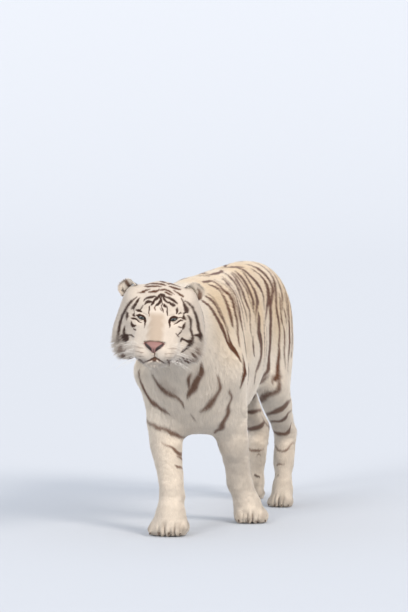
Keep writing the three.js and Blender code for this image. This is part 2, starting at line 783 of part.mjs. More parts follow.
function addHead() {
  const whole = meshed(animal, [-260, -760, 540], [260, -230, 1080], CELLS.head);
  let skull = largest(within(whole, [walls.head]));
  for (const [side, s] of Object.entries(SIDES)) {
    const centre = head(s * EYE_HALF_SPACING, EYE_DEPTH, 0);
    add(`eye_${side}`, ball(centre, EYE_RADIUS), EYE);
    skull = skull.subtract(ball(centre, EYE_RADIUS + CUT));
    add(`ear_${side}`, seated(ear(side), skull, headDirection(s * 0.4, 0, 1)), COAT_WHITE);
  }
  const nose = solidOf(new THREE.SphereGeometry(1, 14, 10).scale(...NOSE.radii).applyMatrix4(
    headFrame.clone().multiply(new THREE.Matrix4().makeTranslation(...head(...NOSE.centre))),
  ));
  add("nose", seated(nose, skull, headDirection(0, 1, 0)), NOSE_LEATHER);
  const jaw = [
    wall(headPoint(0, 120, MOUTH_HEIGHT), headDirection(0, -0.12, -1)),
    wall(headPoint(0, 4, MOUTH_HEIGHT), headDirection(0, 1, -0.3)),
  ];
  add("lower_jaw", largest(within(skull, jaw)), COAT_WHITE);
  add("head", largest(without(skull, jaw)), COAT_WHITE);
}

// ---------------------------------------------------------------- claws
// One short curved claw at the front of each toe, mostly sheathed.
function addClaws(name, side, joint, pawBody) {
  for (const { number, across, reach } of TOES) {
    const length = 0.27 * joint.size;
    const root = pawPoint(side, joint, across * joint.size, (reach + 0.1) * joint.size, 0.2 * joint.size);
    const tip = pawPoint(side, joint, across * joint.size, (reach + 0.32) * joint.size, 0.09 * joint.size);
    const aim = new THREE.Vector3(...tip).sub(new THREE.Vector3(...root)).normalize();
    const cone = new THREE.ConeGeometry(0.06 * joint.size, length, 6);
    cone.translate(0, length / 2, 0);
    cone.applyQuaternion(new THREE.Quaternion().setFromUnitVectors(new THREE.Vector3(0, 1, 0), aim));
    cone.translate(...root);
    add(`${name}_${number}`, seated(solidOf(cone), pawBody, aim.toArray()), CLAW_HORN);
  }
}

addUpperBody();
addLowerLegs();
addTail();
addHead();

// The origin is the middle of the bounding box's floor.
const extent = new THREE.Box3().setFromObject(tiger, true);
const middle = extent.getCenter(new THREE.Vector3());
tiger.position.set(-middle.x, -middle.y, 0);

export default tiger;
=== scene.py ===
"""White tiger, life size: its skin, coat, eyes, nose leather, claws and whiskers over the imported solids.

The head is up and turned a little to its left, the mouth is closed, and it stands in mid step on four paws.
Anatomy is given in millimetres in two frames. The body frame has its origin on the floor below the shoulder
joints, +X to the animal's left and +Y to its rump. The head frame has its origin midway between the eyes,
and counts to the animal's left, forward and up.
"""

import math

import bpy
import numpy as np
from mathutils import Matrix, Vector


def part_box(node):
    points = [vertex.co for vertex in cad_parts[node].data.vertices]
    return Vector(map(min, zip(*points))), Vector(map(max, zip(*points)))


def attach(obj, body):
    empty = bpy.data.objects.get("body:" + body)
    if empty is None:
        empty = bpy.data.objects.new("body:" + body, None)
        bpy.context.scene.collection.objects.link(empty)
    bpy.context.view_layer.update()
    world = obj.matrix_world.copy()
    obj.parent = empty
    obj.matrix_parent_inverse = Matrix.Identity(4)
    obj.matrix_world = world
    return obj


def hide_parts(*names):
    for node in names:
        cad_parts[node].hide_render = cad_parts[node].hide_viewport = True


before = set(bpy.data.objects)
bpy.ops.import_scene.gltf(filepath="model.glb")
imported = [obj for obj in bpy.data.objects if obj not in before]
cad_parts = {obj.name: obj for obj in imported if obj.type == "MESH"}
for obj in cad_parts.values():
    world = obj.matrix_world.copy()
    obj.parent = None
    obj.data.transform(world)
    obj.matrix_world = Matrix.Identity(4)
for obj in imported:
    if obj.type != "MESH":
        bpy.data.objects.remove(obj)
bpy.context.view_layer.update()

bl_info = {
    "name": "White Tiger",
    "version": (1, 0, 0),
    "blender": (4, 5, 0),
    "location": "View3D > Sidebar > White Tiger",
    "description": "Builds the skin, coat and features of a life-size white tiger model",
    "category": "Object",
}

BODY = "root"
SIDES = {"left": 1, "right": -1}
MM = 0.001
FLOOR_GAP = 0.0008  # the hairs stop this far above the floor

# ------------------------------------------------------------------ frames
BELLY_FRONT = 330  # where the belly starts, behind the shoulder joints
TRUNK_AXIS = 660  # height of the trunk's axis
HEAD_LOWEST = 560  # nothing of the head lies below this height
LEGS_APART = 500  # the forelegs stand before this place along the body, the hind legs behind it
TOES_HIGH = 70  # height of the toes
_chest, _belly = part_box("chest"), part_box("belly")
ORIGIN = np.array([(_chest[0].x + _chest[1].x) / 2, _belly[0].y - BELLY_FRONT * MM, 0.0])

HEAD_TURN = {"yaw": 12.5, "pitch": -6, "roll": 3}
EYE_SPACING = 58  # half the distance between the eyes' centres
EYE_DEPTH = 12  # how far the eyes' centres lie behind the head frame's origin
EYE_RADIUS = 19
NOSE_AT = np.array([0, 117, -84])
NOSE_SIZE = np.array([39, 28, 22])


def turned(axis, degrees):
    return np.array(Matrix.Rotation(math.radians(degrees), 3, axis))


HEAD_AXES = turned("Z", HEAD_TURN["yaw"]) @ turned("X", -HEAD_TURN["pitch"]) @ turned("Y", HEAD_TURN["roll"])


def middle(node):
    low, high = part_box(node)
    return np.array((low + high) / 2)


EYES_AT = (middle("eye_left") + middle("eye_right")) / 2 - HEAD_AXES @ [0, EYE_DEPTH * MM, 0]


def body_mm(points):
    """Part frame in metres to body frame in millimetres."""
    return (points - ORIGIN) / MM


def from_body(points):
    return np.asarray(points, float) * MM + ORIGIN


def head_mm(points):
    """Part frame in metres to left, forward and up of the head in millimetres."""
    q = ((points - EYES_AT) / MM) @ HEAD_AXES
    return np.stack([q[..., 0], -q[..., 1], q[..., 2]], axis=-1)


def from_head(points):
    q = np.asarray(points, float) * [1, -1, 1] * MM
    return q @ HEAD_AXES.T + EYES_AT


def head_way(side, forward, up):
    """A direction of the head frame, in the part frame."""
    return HEAD_AXES @ [side, -forward, up]


# Joints of each limb and the line of the tail, in the body frame.
LIMBS = {
    "fore_right": [(-138, -62, 610), (-134, 12, 425), (-56, -128, 160), (-54, -160, 70), (-56, -208, 34)],
    "fore_left": [(126, -30, 615), (104, 98, 435), (98, 258, 165), (122, 296, 66), (150, 254, 31)],
    "hind_left": [(76, 790, 770), (116, 668, 520), (102, 955, 285), (117, 850, 62), (120, 788, 28)],
    "hind_right": [(-76, 800, 770), (-92, 850, 490), (-58, 1130, 285), (-62, 1075, 62), (-62, 1012, 28)],
}
TAIL_LINE = [(0, 950, 850), (0, 1030, 800), (4, 1092, 705), (12, 1130, 590), (20, 1150, 465),
             (24, 1162, 345), (22, 1184, 240), (12, 1224, 172), (-4, 1274, 142), (-18, 1322, 152)]
# Each paw's toes: where they are foremost on the floor, how far they turn to its left, and their width.
TOES = {
    "fore_right": ((-56, -208), 0, 88), "fore_left": ((150, 254), 20, 88),
    "hind_left": ((120, 788), 2, 66), "hind_right": ((-62, 1012), 2, 66),
}
NECK_AT = -168  # the head's back, forward of the head frame's origin
EAR_MIDDLE = (108, 84)  # middle of an ear, to its side and up, in the head frame


# ------------------------------------------------------------------ numbers over many points
def rise(x, low, high):
    """0 below low, 1 above high and smooth between, or falling where high is below low."""
    t = np.clip((x - low) / (high - low), 0, 1)
    return t * t * (3 - 2 * t)


def towards(value, goal, weight):
    """The value moved to its goal by a weight between 0 and 1."""
    return value + (goal - value) * weight


def unit(v):
    return v / np.maximum(np.linalg.norm(v, axis=-1, keepdims=True), 1e-9)


def hill(x, centre, half):
    """1 at the centre, falling smoothly to 0 at half on either side."""
    return rise(np.abs(x - centre), half, 0)


def waver(points, size, seed):
    """Smooth wandering values, about -1 to 1, that change over `size` millimetres."""
    rng = np.random.default_rng(seed)
    total = np.zeros(len(points))
    for _ in range(6):
        wave = unit(rng.normal(size=3)) * rng.uniform(3.0, 6.5) / size
        total += np.sin(points @ wave + rng.uniform(0, 6.3))
    return total / 2.6


def along(points, line):
    """Distance from a broken line, how far along it in millimetres, and the line's direction there."""
    best = np.full(len(points), 1e9)
    place = np.zeros(len(points))
    way = np.zeros((len(points), 3))
    done = 0.0
    for a, b in zip(np.array(line[:-1], float), np.array(line[1:], float)):
        length = np.linalg.norm(b - a)
        t = np.clip((points - a) @ (b - a) / length**2, 0, 1)
        far = np.linalg.norm(points - a - t[:, None] * (b - a), axis=1)
        near = far < best
        best[near], place[near], way[near] = far[near], done + t[near] * length, (b - a) / length
        done += length
    return best, place, way


# ------------------------------------------------------------------ settings
def linear(code):
    """An sRGB hex colour as linear red, green and blue."""
    parts = [int(code[i : i + 2], 16) / 255 for i in (1, 3, 5)]
    return [c / 12.92 if c <= 0.04045 else ((c + 0.055) / 1.055) ** 2.4 for c in parts]


def colour_prop(name, description, code):
    return bpy.props.FloatVectorProperty(
        name=name, description=description, subtype="COLOR", size=3, min=0, max=1, default=linear(code)
    )


class TigerColours(bpy.types.PropertyGroup):
    """The coat's and features' colours."""

    white: colour_prop("White", "Ground colour of the face, chest, belly and legs", "#F0E9DF")
    cream: colour_prop("Cream", "Ground colour of the back, flanks and shoulders", "#E2C9A6")
    brown: colour_prop("Brown", "Stripes of the body", "#643A20")
    black: colour_prop("Black", "Darkest marks of the face", "#2A1D18")
    leather: colour_prop("Nose leather", "Bare skin of the nose", "#97706A")
    iris: colour_prop("Iris", "Ring round the pupil", "#58615C")
    horn: colour_prop("Horn", "Claws", "#5B4A3C")
    floor: colour_prop("Floor", "Studio floor", "#BFC3C9")


class TigerSizes(bpy.types.PropertyGroup):
    """Sizes that a user would change."""

    cell: bpy.props.FloatProperty(
        name="Skin cell", description="Mesh size of the trunk's skin",
        default=9.5 * MM, min=4 * MM, max=20 * MM, unit="LENGTH", subtype="DISTANCE", precision=4,
    )
    thickness: bpy.props.FloatProperty(
        name="Coat density", description="How many layers of tufts lie over each other",
        default=3.4, min=0.5, max=6,
    )
    length: bpy.props.FloatProperty(
        name="Coat length", description="Length of the tufts, against a winter coat",
        default=1.0, min=0.5, max=1.5, subtype="FACTOR",
    )


def colours():
    return bpy.context.scene.tiger_colours


def sizes():
    return bpy.context.scene.tiger_sizes


# ------------------------------------------------------------------ materials
def add_node(tree, kind, fields=None, **inputs):
    """Adds a node with its fields and inputs. An input is named, or numbered as i0, i1 and so on."""
    made = tree.nodes.new(kind)
    for field, value in (fields or {}).items():
        setattr(made, field, value)
    for name, value in inputs.items():
        numbered = name[0] == "i" and name[1:].isdigit()
        socket = made.inputs[int(name[1:]) if numbered else name.replace("_", " ")]
        if isinstance(value, bpy.types.NodeSocket):
            tree.links.new(value, socket)
        else:
            socket.default_value = value
    return made


def blank_material(name):
    material = bpy.data.materials.new(name)
    material.use_nodes = True
    tree = material.node_tree
    return material, tree, tree.nodes["Principled BSDF"]


def rgba(colour):
    return (*colour, 1.0)


def mixed(tree, factor, a, b, blend="MIX"):
    fields = {"data_type": "RGBA", "blend_type": blend}
    return add_node(tree, "ShaderNodeMix", fields, i0=factor, i6=a, i7=b).outputs[2]


def attribute(tree, name):
    return add_node(tree, "ShaderNodeAttribute", {"attribute_name": name}).outputs["Fac"]


def ranged(tree, value, low, high, to_low, to_high):
    inputs = {"i0": value, "i1": low, "i2": high, "i3": to_low, "i4": to_high}
    return add_node(tree, "ShaderNodeMapRange", **inputs).outputs[0]


UNDER_HAIR_PER_M = 420.0  # clumps of under-hair in a metre


def coat_colour(tree):
    """Ground, marks, painted shade darkening the roots and hair-to-hair tone, from the values stored on the
    mesh.
    """
    c = colours()
    ground = mixed(tree, attribute(tree, "warm"), rgba(c.white), rgba(c.cream))
    mark = mixed(tree, attribute(tree, "black"), rgba(c.brown), rgba(c.black))
    marked = mixed(tree, attribute(tree, "ink"), ground, mark)
    tone = ranged(tree, attribute(tree, "tone"), 0, 1, 0.86, 1.08)
    # painted shade: the coat is darker towards the roots of the tufts and on the skin below them
    depth = ranged(tree, attribute(tree, "depth"), 0, 1, 0.90, 1.0)
    value = add_node(tree, "ShaderNodeMath", {"operation": "MULTIPLY"}, i0=tone, i1=depth).outputs[0]
    grey = add_node(tree, "ShaderNodeCombineColor", i0=value, i1=value, i2=value).outputs[0]
    return mixed(tree, 1.0, marked, grey, "MULTIPLY")


def hair_material():
    # Tiger hair, grown and clean: a dull keratin fibre that scatters light softly, with a faint sheen.
    material, tree, shader = blank_material("tiger_hair_winter_coat")
    tree.links.new(coat_colour(tree), shader.inputs["Base Color"])
    shader.inputs["Roughness"].default_value = 0.72
    shader.inputs["Specular IOR Level"].default_value = 0.25
    shader.inputs["Sheen Weight"].default_value = 0.18
    shader.inputs["Sheen Roughness"].default_value = 0.5
    return material


def skin_material():
    # Hide under the coat: the same colours, with the under-hair as a bump of clumps 2.4 mm apart, drawn
    # coarser than single hairs so that they show.
    material, tree, shader = blank_material("tiger_hide_under_coat")
    tree.links.new(coat_colour(tree), shader.inputs["Base Color"])
    place = add_node(tree, "ShaderNodeTexCoord").outputs["Object"]
    combed = add_node(tree, "ShaderNodeMapping", Vector=place, Scale=(1.0, 0.35, 0.6)).outputs[0]
    hair = {"Scale": UNDER_HAIR_PER_M, "Detail": 3.0, "Roughness": 0.6}
    noise = add_node(tree, "ShaderNodeTexNoise", Vector=combed, **hair).outputs[0]
    bump = add_node(tree, "ShaderNodeBump", Height=noise, Strength=0.5, Distance=1.5 * MM)
    tree.links.new(bump.outputs[0], shader.inputs["Normal"])
    shader.inputs["Roughness"].default_value = 0.8
    shader.inputs["Specular IOR Level"].default_value = 0.2
    return material


# ------------------------------------------------------------------ making meshes
def alone(piece):
    bpy.ops.object.select_all(action="DESELECT")
    piece.select_set(True)
    bpy.context.view_layer.objects.active = piece


def applied(piece, kind, **settings):
    alone(piece)
    modifier = piece.modifiers.new(kind.lower(), kind)
    for key, value in settings.items():
        setattr(modifier, key, value)
    bpy.ops.object.modifier_apply(modifier=modifier.name)


def faced_outwards(piece):
    alone(piece)
    bpy.ops.object.mode_set(mode="EDIT")
    bpy.ops.mesh.select_all(action="SELECT")
    bpy.ops.mesh.normals_make_consistent(inside=False)
    bpy.ops.object.mode_set(mode="OBJECT")


def copied(nodes, name):
    """One object holding copies of those solids, each merged into a closed mesh."""
    bpy.ops.object.select_all(action="DESELECT")
    for node in nodes:
        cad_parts[node].select_set(True)
    bpy.context.view_layer.objects.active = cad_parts[nodes[0]]
    bpy.ops.object.duplicate()
    if len(nodes) > 1:
        bpy.ops.object.join()
    piece = bpy.context.view_layer.objects.active
    piece.parent = None
    for key in [k for k in piece.keys() if k.startswith("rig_")]:
        del piece[key]
    piece.name = piece.data.name = name
    bpy.ops.object.mode_set(mode="EDIT")
    bpy.ops.mesh.select_all(action="SELECT")
    bpy.ops.mesh.remove_doubles(threshold=1e-5)
    bpy.ops.object.mode_set(mode="OBJECT")
    return piece


def points_of(mesh):
    co = np.empty(len(mesh.vertices) * 3, np.float32)
    mesh.vertices.foreach_get("co", co)
    return co.reshape(-1, 3).astype(float)


def move_points(mesh, co):
    mesh.vertices.foreach_set("co", co.astype(np.float32).ravel())
    mesh.update()


def normals_of(mesh):
    out = np.empty(len(mesh.vertices) * 3, np.float32)
    mesh.vertex_normals.foreach_get("vector", out)
    return out.reshape(-1, 3).astype(float)


def edges_of(mesh):
    out = np.empty(len(mesh.edges) * 2, np.int32)
    mesh.edges.foreach_get("vertices", out)
    return out.reshape(-1, 2)


def relaxed(co, edges, rounds, amount, back=0.0):
    """Moves each point to its neighbours' middle, and by `back` away again, to keep the form's size."""
    count = len(co)
    a, b = edges[:, 0], edges[:, 1]
    degree = np.maximum(np.bincount(a, minlength=count) + np.bincount(b, minlength=count), 1)[:, None]

    def pull(points):
        sums = [np.bincount(a, points[b, i], count) + np.bincount(b, points[a, i], count) for i in range(3)]
        return np.stack(sums, axis=1) / degree - points

    for _ in range(rounds):
        co = co + pull(co) * amount
        if back:
            co = co - pull(co) * (np.asarray(amount) + back)
    return co


def store(mesh, name, values):
    layer = mesh.attributes.get(name) or mesh.attributes.new(name, "FLOAT", "POINT")
    layer.data.foreach_set("value", np.asarray(values, np.float32))


# ------------------------------------------------------------------ the lie of the coat
def zones(points):
    """Soft weights, 0 to 1, of the body's areas, for points in the part frame."""
    q, h = body_mm(points), head_mm(points)
    x, y, z = q.T
    side, forward, up = h.T
    tail_far, tail_at, tail_way = along(q, TAIL_LINE)
    w = {"q": q, "h": h, "tail_way": tail_way, "tail_at": tail_at}
    w["head"] = rise(forward, NECK_AT - 25, NECK_AT + 35) * rise(z, 560, 620)
    tail_reach = 66 + 30 * rise(z, 640, 740)
    w["tail"] = rise(y, 1000, 1060) * rise(tail_far, tail_reach, tail_reach - 20)
    w["fore"] = rise(z, 440, 340) * rise(y, 520, 460)
    w["hind"] = rise(z, 500, 400) * rise(y, 540, 600)
    w["paw"] = rise(z, 105, 60)
    w["body"] = (1 - w["head"]) * (1 - w["tail"])
    w["shoulder"] = hill(y, 10, 210) * rise(np.abs(x), 70, 130) * rise(z, 880, 700)
    w["thigh"] = rise(y, 620, 760) * rise(z, 900, 720) * rise(np.abs(x), 40, 100)
    w["neck"] = rise(y, -60, -200)
    return w


HEAD_NOSE = np.array([0.0, 128.0, -96.0])  # the hairs of the face spread from here
EAR_FOOT = (84, -112, 40)  # the hairs of an ear spread from here: to its side, forward and up


# Hair of each area: its length and width in millimetres, and its lift off the skin in degrees.
HAIR = {
    "back": (24, 3.5, 11), "belly": (30, 3.6, 15), "neck": (26, 3.0, 11), "chest": (28, 3.0, 12),
    "shoulder": (21, 3.3, 10), "thigh": (23, 3.5, 11), "leg": (15, 2.9, 11), "back_of_leg": (25, 3.4, 17),
    "paw": (10, 2.6, 12), "tail": (28, 3.6, 17), "tail_tip": (17, 2.8, 7),
    "head": (20, 2.9, 11), "face": (9, 2.3, 11), "crown": (9, 2.1, 9), "cheek": (13, 2.2, 9),
    "ruff": (38, 3.0, 18), "chin": (22, 3.0, 20), "bridge": (5, 1.8, 8), "lip_pads": (7, 1.9, 9),
    "lids": (4, 1.5, 8),
}
DOWN_LEG = (0, 0.1, -1)


def body_hair(w, normals):
    """Each area of the body's hair: its name, its weight, and the way its hairs lie where that changes."""
    x, y, z = w["q"].T
    under = rise(-normals[:, 2], 0.2, 0.7) * rise(y, 60, 160)
    front = rise(-normals[:, 1], 0.1, 0.6) * rise(y, 60, -60) * rise(z, 760, 660)
    behind = rise(normals[:, 1], 0.2, 0.8) * (w["fore"] + w["hind"]) * rise(z, 60, 140)
    down_neck = np.stack([np.zeros_like(x), np.full_like(x, 0.9), -0.2 - 0.7 * rise(z, 860, 740)], 1)
    return [
        ("belly", under, (0, 1, -0.2)),
        ("neck", w["neck"], down_neck),
        ("chest", front, DOWN_LEG),
        ("shoulder", w["shoulder"], (0, 0.4, -1)),
        ("thigh", w["thigh"], (0, 0.45, -1)),
        ("leg", w["fore"], DOWN_LEG),
        ("leg", w["hind"], DOWN_LEG),
        ("back_of_leg", behind, None),
        ("paw", w["paw"], (0, -0.6, -0.8)),
        ("tail", w["tail"], w["tail_way"]),
        ("tail_tip", w["tail"] * rise(w["tail_at"], 780, 880), None),
    ]


def head_hair(w, points):
    """The same for the head. Hairs spread from the nose, stand up in the ruff and are short on the bridge."""
    head = w["head"]
    side, forward, up = w["h"].T
    wide = np.abs(side)
    spread = unit(points - from_head(HEAD_NOSE))
    droop = unit(spread + head_way(0, -0.5, -0.9) + np.outer(np.sign(side), head_way(0.5, 0, 0)))
    ruff = rise(wide, 96, 132) * rise(up, -50, -110) * rise(forward, 20, -30)
    bridge = rise(wide, 48, 20) * rise(forward, -20, 20) * rise(up, -110, -80)
    pads = rise(forward, 40, 80) * rise(up, -60, -85) * rise(up, -136, -120)
    lids = rise(np.hypot(wide - EYE_SPACING, up), 34, 22) * rise(forward, -50, -30)
    return [
        ("head", head, spread),
        ("face", head * rise(forward, -80, 0), None),
        ("crown", head * rise(up, 20, 60), None),
        ("cheek", head * rise(wide, 70, 118) * rise(up, 60, 0), droop),
        ("ruff", head * ruff, None),
        ("chin", head * rise(up, -128, -150) * rise(wide, 80, 50), head_way(0, -0.7, -0.7)),
        ("bridge", head * bridge, None),
        ("lip_pads", head * pads, None),
        ("lids", head * lids, None),
    ]


def on_skin(ways, normals):
    """Directions laid flat on the skin, as unit vectors."""
    return unit(ways - normals * np.sum(ways * normals, axis=1, keepdims=True))


def coat(points, normals):
    """Length, width and lift of the hair as in HAIR, and the unit vector along which it lies."""
    w = zones(points)
    x = w["q"][:, 0]
    hair = np.tile(np.array(HAIR["back"], float), (len(points), 1))
    way = np.stack([np.zeros_like(x), np.ones_like(x), -0.15 - 0.55 * rise(np.abs(x), 40, 170)], 1)
    for name, weight, goal in body_hair(w, normals) + head_hair(w, points):
        hair = towards(hair, np.array(HAIR[name], float), weight[:, None])
        if goal is not None:
            way = towards(way, np.asarray(goal, float), weight[:, None])
    length, width, lift = hair.T
    return length * sizes().length, width, lift, on_skin(way, normals)


def ear_places(points, normals):
    """How far each point lies out and up from its ear's middle, and how much it is of the ear's inside."""
    h = head_mm(points)
    ahead = normals @ head_way(0, 1, 0)
    return np.abs(h[:, 0]) - EAR_MIDDLE[0], h[:, 2] - EAR_MIDDLE[1], rise(ahead, -0.1, 0.25)


def ear_coat(points, normals):
    """The same for the ears: long loose hair within and at the rim, short hair behind."""
    side, up, within = ear_places(points, normals)
    inner = within * rise(side, 6, -26) * rise(up, -24, -4)
    length = 7 + within * 3 + 10 * inner
    width = 1.8 + 0.5 * within
    lift = 8 + 3 * within + 4 * inner
    outward = np.sign(head_mm(points)[:, 0])[:, None]
    foot = np.where(outward > 0, EAR_FOOT, np.array(EAR_FOOT) * [-1, 1, 1])
    spread = unit(points - from_head(foot))
    sweep = outward * head_way(1, 0, 0) * 0.9 + head_way(0, 0.2, 0.5)
    way = towards(spread, sweep, inner[:, None])
    return length * sizes().length, width, lift, on_skin(way, normals)


# ------------------------------------------------------------------ markings
# Every mark is a brushed line of (across, up, width) in millimetres on a flat or unrolled plane.
# The face's plane is turned to the left and tilted up, and its origin lies midway between the eyes.
FACE_TURN, FACE_TILT = 16, 3.4
FACE_ACROSS = turned("Z", FACE_TURN) @ np.array([1, 0, 0])
FACE_UP = turned("Z", FACE_TURN) @ turned("X", -FACE_TILT) @ np.array([0, 0, 1])
FACE_BLACK = [
    # forehead: two arcs over each brow and the fan between them
    [(-53, 62, 2), (-45, 72, 5), (-30, 77, 9), (-15, 80, 8), (-5, 79, 4)],
    [(28, 79, 5), (45, 74, 8), (56, 67, 10), (66, 60, 8), (73, 52, 3)],
    [(-47, 51, 4), (-40, 59, 9), (-30, 62, 9), (-19, 60, 4)],
    [(41, 59, 5), (50, 53, 10), (58, 48, 9), (65, 47, 3)],
    [(12, 90, 6), (20, 84, 12), (29, 78, 6)],
    [(10, 88, 6), (2, 78, 9), (-9, 69, 9)],
    [(12, 86, 4), (14, 70, 5), (16, 54, 4), (15, 40, 3), (22, 22, 2)],
    [(8, 80, 4), (10, 65, 7), (5, 55, 9), (-3, 49, 8)],
    [(20, 76, 5), (28, 65, 8), (38, 57, 6)],
    [(-8, 72, 5), (-14, 62, 8), (-20, 52, 7), (-24, 48, 3)],
    [(22, 53, 4), (26, 46, 9), (30, 40, 5)],
    [(-29, 45, 4), (-30, 34, 5), (-33, 19, 3)],
    [(32, 50, 3), (35, 38, 4), (34, 26, 5), (37, 10, 3)],
    [(13, 48, 3), (18, 36, 4), (23, 23, 3)],
    [(8, 40, 2), (15, 28, 3)],
    # its right brow and temple
    [(-79, 31, 5), (-70, 29, 9), (-59, 26, 5)],
    [(-64, 31, 5), (-58, 40, 4), (-53, 49, 3)],
    [(-67, 74, 4), (-76, 62, 8), (-84, 50, 10), (-90, 40, 10), (-97, 35, 3)],
    [(-88, 40, 3), (-86, 22, 3), (-88, 13, 9), (-82, 8, 4)],
    # its left brow and temple
    [(71, 41, 3), (71, 32, 7), (71, 24, 8), (69, 17, 3)],
    [(75, 15, 3), (83, 21, 5), (87, 19, 4)],
    [(86, 74, 3), (95, 56, 7), (101, 43, 12), (106, 33, 15), (109, 24, 9)],
    [(104, 24, 6), (97, 20, 6), (95, 12, 5), (97, 3, 8), (102, -6, 4)],
    # its right eye: upper lid, tear line, lower lid and the spots outside it
    [(-77, 11, 5), (-66, 10, 11), (-56, 7, 11), (-48, -1, 10), (-45, -10, 8), (-46, -22, 4),
     (-48, -34, 2)],
    [(-94, 1, 6), (-84, -1, 7), (-76, -5, 5), (-66, -12, 4), (-58, -16, 3)],
    [(-97, -9, 3), (-95, -20, 8), (-90, -27, 11), (-80, -26, 6)],
    [(-87, -38, 5), (-81, -41, 6)],
    # its left eye
    [(74, 2, 4), (64, 6, 8), (54, 3, 9), (46, -5, 9), (43, -14, 8), (45, -24, 6), (44, -34, 2)],
    [(70, 3, 3), (84, 3, 4), (94, 1, 6), (102, -6, 3)],
    [(58, -22, 2), (66, -19, 4), (73, -14, 5), (80, -8, 6), (92, -6, 5)],
    [(100, -15, 4), (97, -25, 8), (93, -33, 9), (91, -42, 3)],
    [(77, -30, 4), (85, -33, 5)],
    # cheeks
    [(-112, 25, 3), (-112, 12, 10), (-113, 2, 6), (-114, -6, 3)],
    [(-121, -28, 4), (-123, -42, 8), (-124, -56, 10), (-122, -68, 14)],
    [(-134, -68, 6), (-122, -70, 26), (-113, -70, 12)],
    [(-124, -72, 16), (-120, -80, 12), (-119, -90, 3)],
    [(-110, -62, 4), (-100, -60, 5), (-92, -64, 6), (-84, -67, 3)],
    [(109, 12, 3), (116, 5, 7), (121, -8, 9), (121, -22, 7), (121, -38, 7), (124, -52, 8), (127, -66, 9),
     (126, -80, 13), (120, -94, 13), (108, -107, 9), (95, -118, 7), (84, -126, 3)],
    [(126, -64, 5), (140, -62, 7), (150, -62, 13)],
    [(84, -84, 4), (89, -74, 7), (100, -79, 7), (112, -84, 9), (123, -82, 10)],
    [(67, -54, 3), (73, -62, 4), (79, -67, 3)],
    [(74, -60, 4), (82, -53, 5), (87, -47, 5), (84, -42, 2)],
    [(-75, 80, 3), (-90, 68, 6), (-102, 58, 8), (-110, 47, 9), (-118, 33, 9), (-126, 18, 9), (-133, 2, 9),
     (-138, -15, 10), (-142, -35, 10), (-146, -55, 9), (-147, -75, 8), (-146, -94, 5)],
    [(98, 66, 3), (112, 56, 6), (126, 42, 8), (134, 25, 8), (140, 12, 9), (144, -5, 10), (148, -22, 11),
     (150, -38, 10), (154, -50, 8), (156, -62, 15), (157, -72, 11), (157, -84, 5)],
]
FACE_BROWN = [
    # mouth
    [(-9, -119, 3), (-9, -136, 4)],
    [(-9, -142, 9), (-11, -148, 15), (-12, -152, 8)],
    [(-10, -139, 4), (-20, -147, 6), (-33, -153, 4), (-48, -158, 3), (-60, -155, 3), (-74, -147, 2)],
    [(-8, -139, 4), (3, -147, 6), (14, -154, 4), (25, -161, 4), (36, -162, 3), (50, -153, 2)],
    [(-3, 50, 5), (-11, 40, 5), (-8, 31, 4)],
    [(-30, 20, 4), (-30, 8, 3)],
    # dark locks below the cheeks
    [(-139, -102, 8), (-138, -118, 14), (-134, -134, 12), (-130, -147, 6)],
    [(-122, -118, 5), (-130, -130, 7), (-122, -142, 5)],
    [(-110, -154, 8), (-100, -147, 9), (-88, -150, 7), (-80, -143, 5)],
    [(-76, -148, 7), (-62, -152, 8), (-52, -161, 6)],
    [(149, -108, 8), (147, -122, 12), (151, -134, 6)],
    [(129, -131, 7), (138, -143, 10), (143, -152, 8), (130, -162, 9)],
    [(92, -145, 6), (101, -157, 7)],
    [(107, -152, 9), (113, -167, 7)],
    [(118, -147, 5), (121, -162, 6)],
    [(66, -156, 6), (72, -165, 9), (77, -174, 5)],
    [(79, -149, 4), (87, -160, 5)],
    [(37, -150, 5), (42, -160, 6), (44, -172, 4)],
    [(44, -153, 4), (56, -152, 5)],
]
CROWN_ARCS = [
    [(-20, 140, 3), (-10, 143, 5), (0, 142, 7), (10, 138, 8), (20, 134, 7), (31, 131, 4)],
    [(38, 139, 3), (50, 143, 4), (60, 139, 6), (75, 132, 6), (91, 124, 5)],
    [(-46, 122, 3), (-25, 128, 5), (0, 127, 7), (20, 124, 7), (31, 121, 3)],
    [(35, 128, 5), (50, 127, 7), (65, 124, 7), (81, 118, 5)],
    [(-49, 118, 3), (-35, 117, 7), (-15, 118, 8), (0, 118, 6), (16, 117, 3)],
    [(41, 117, 4), (55, 114, 8), (68, 109, 9), (83, 106, 5)],
    [(-76, 94, 2), (-62, 95, 6), (-50, 99, 10), (-40, 104, 6), (-28, 107, 3)],
    [(-32, 97, 6), (-15, 98, 11), (0, 101, 8), (6, 108, 5)],
    [(9, 103, 6), (25, 106, 7), (40, 101, 7), (50, 95, 6), (60, 88, 4)],
    [(26, 97, 5), (38, 91, 8), (51, 85, 5)],
    [(56, 104, 3), (70, 95, 6), (80, 88, 9), (91, 81, 10)],
]
WHISKER_ROWS = [
    [(-81, -101, 4), (-68, -103, 6), (-56, -106, 6), (-49, -107, 3)],
    [(-81, -117, 3), (-65, -120, 6), (-55, -123, 6), (-47, -122, 3)],
    [(-74, -133, 2), (-62, -137, 5), (-49, -136, 3)],
    [(38, -108, 3), (50, -109, 5), (69, -108, 4)],
    [(26, -127, 3), (42, -126, 5), (60, -126, 4)],
    [(30, -140, 2), (46, -141, 4), (58, -141, 2)],
]
# Side of the head, behind the face: forward and up.
CHEEK_BARS = [
    [(-146, 66, 4), (-152, 20, 11), (-150, -34, 12), (-140, -84, 13), (-132, -124, 8)],
    [(-176, 40, 4), (-184, 4, 10), (-180, -40, 10), (-170, -76, 5)],
    [(-20, -128, 4), (-44, -120, 8), (-70, -118, 4)],
]
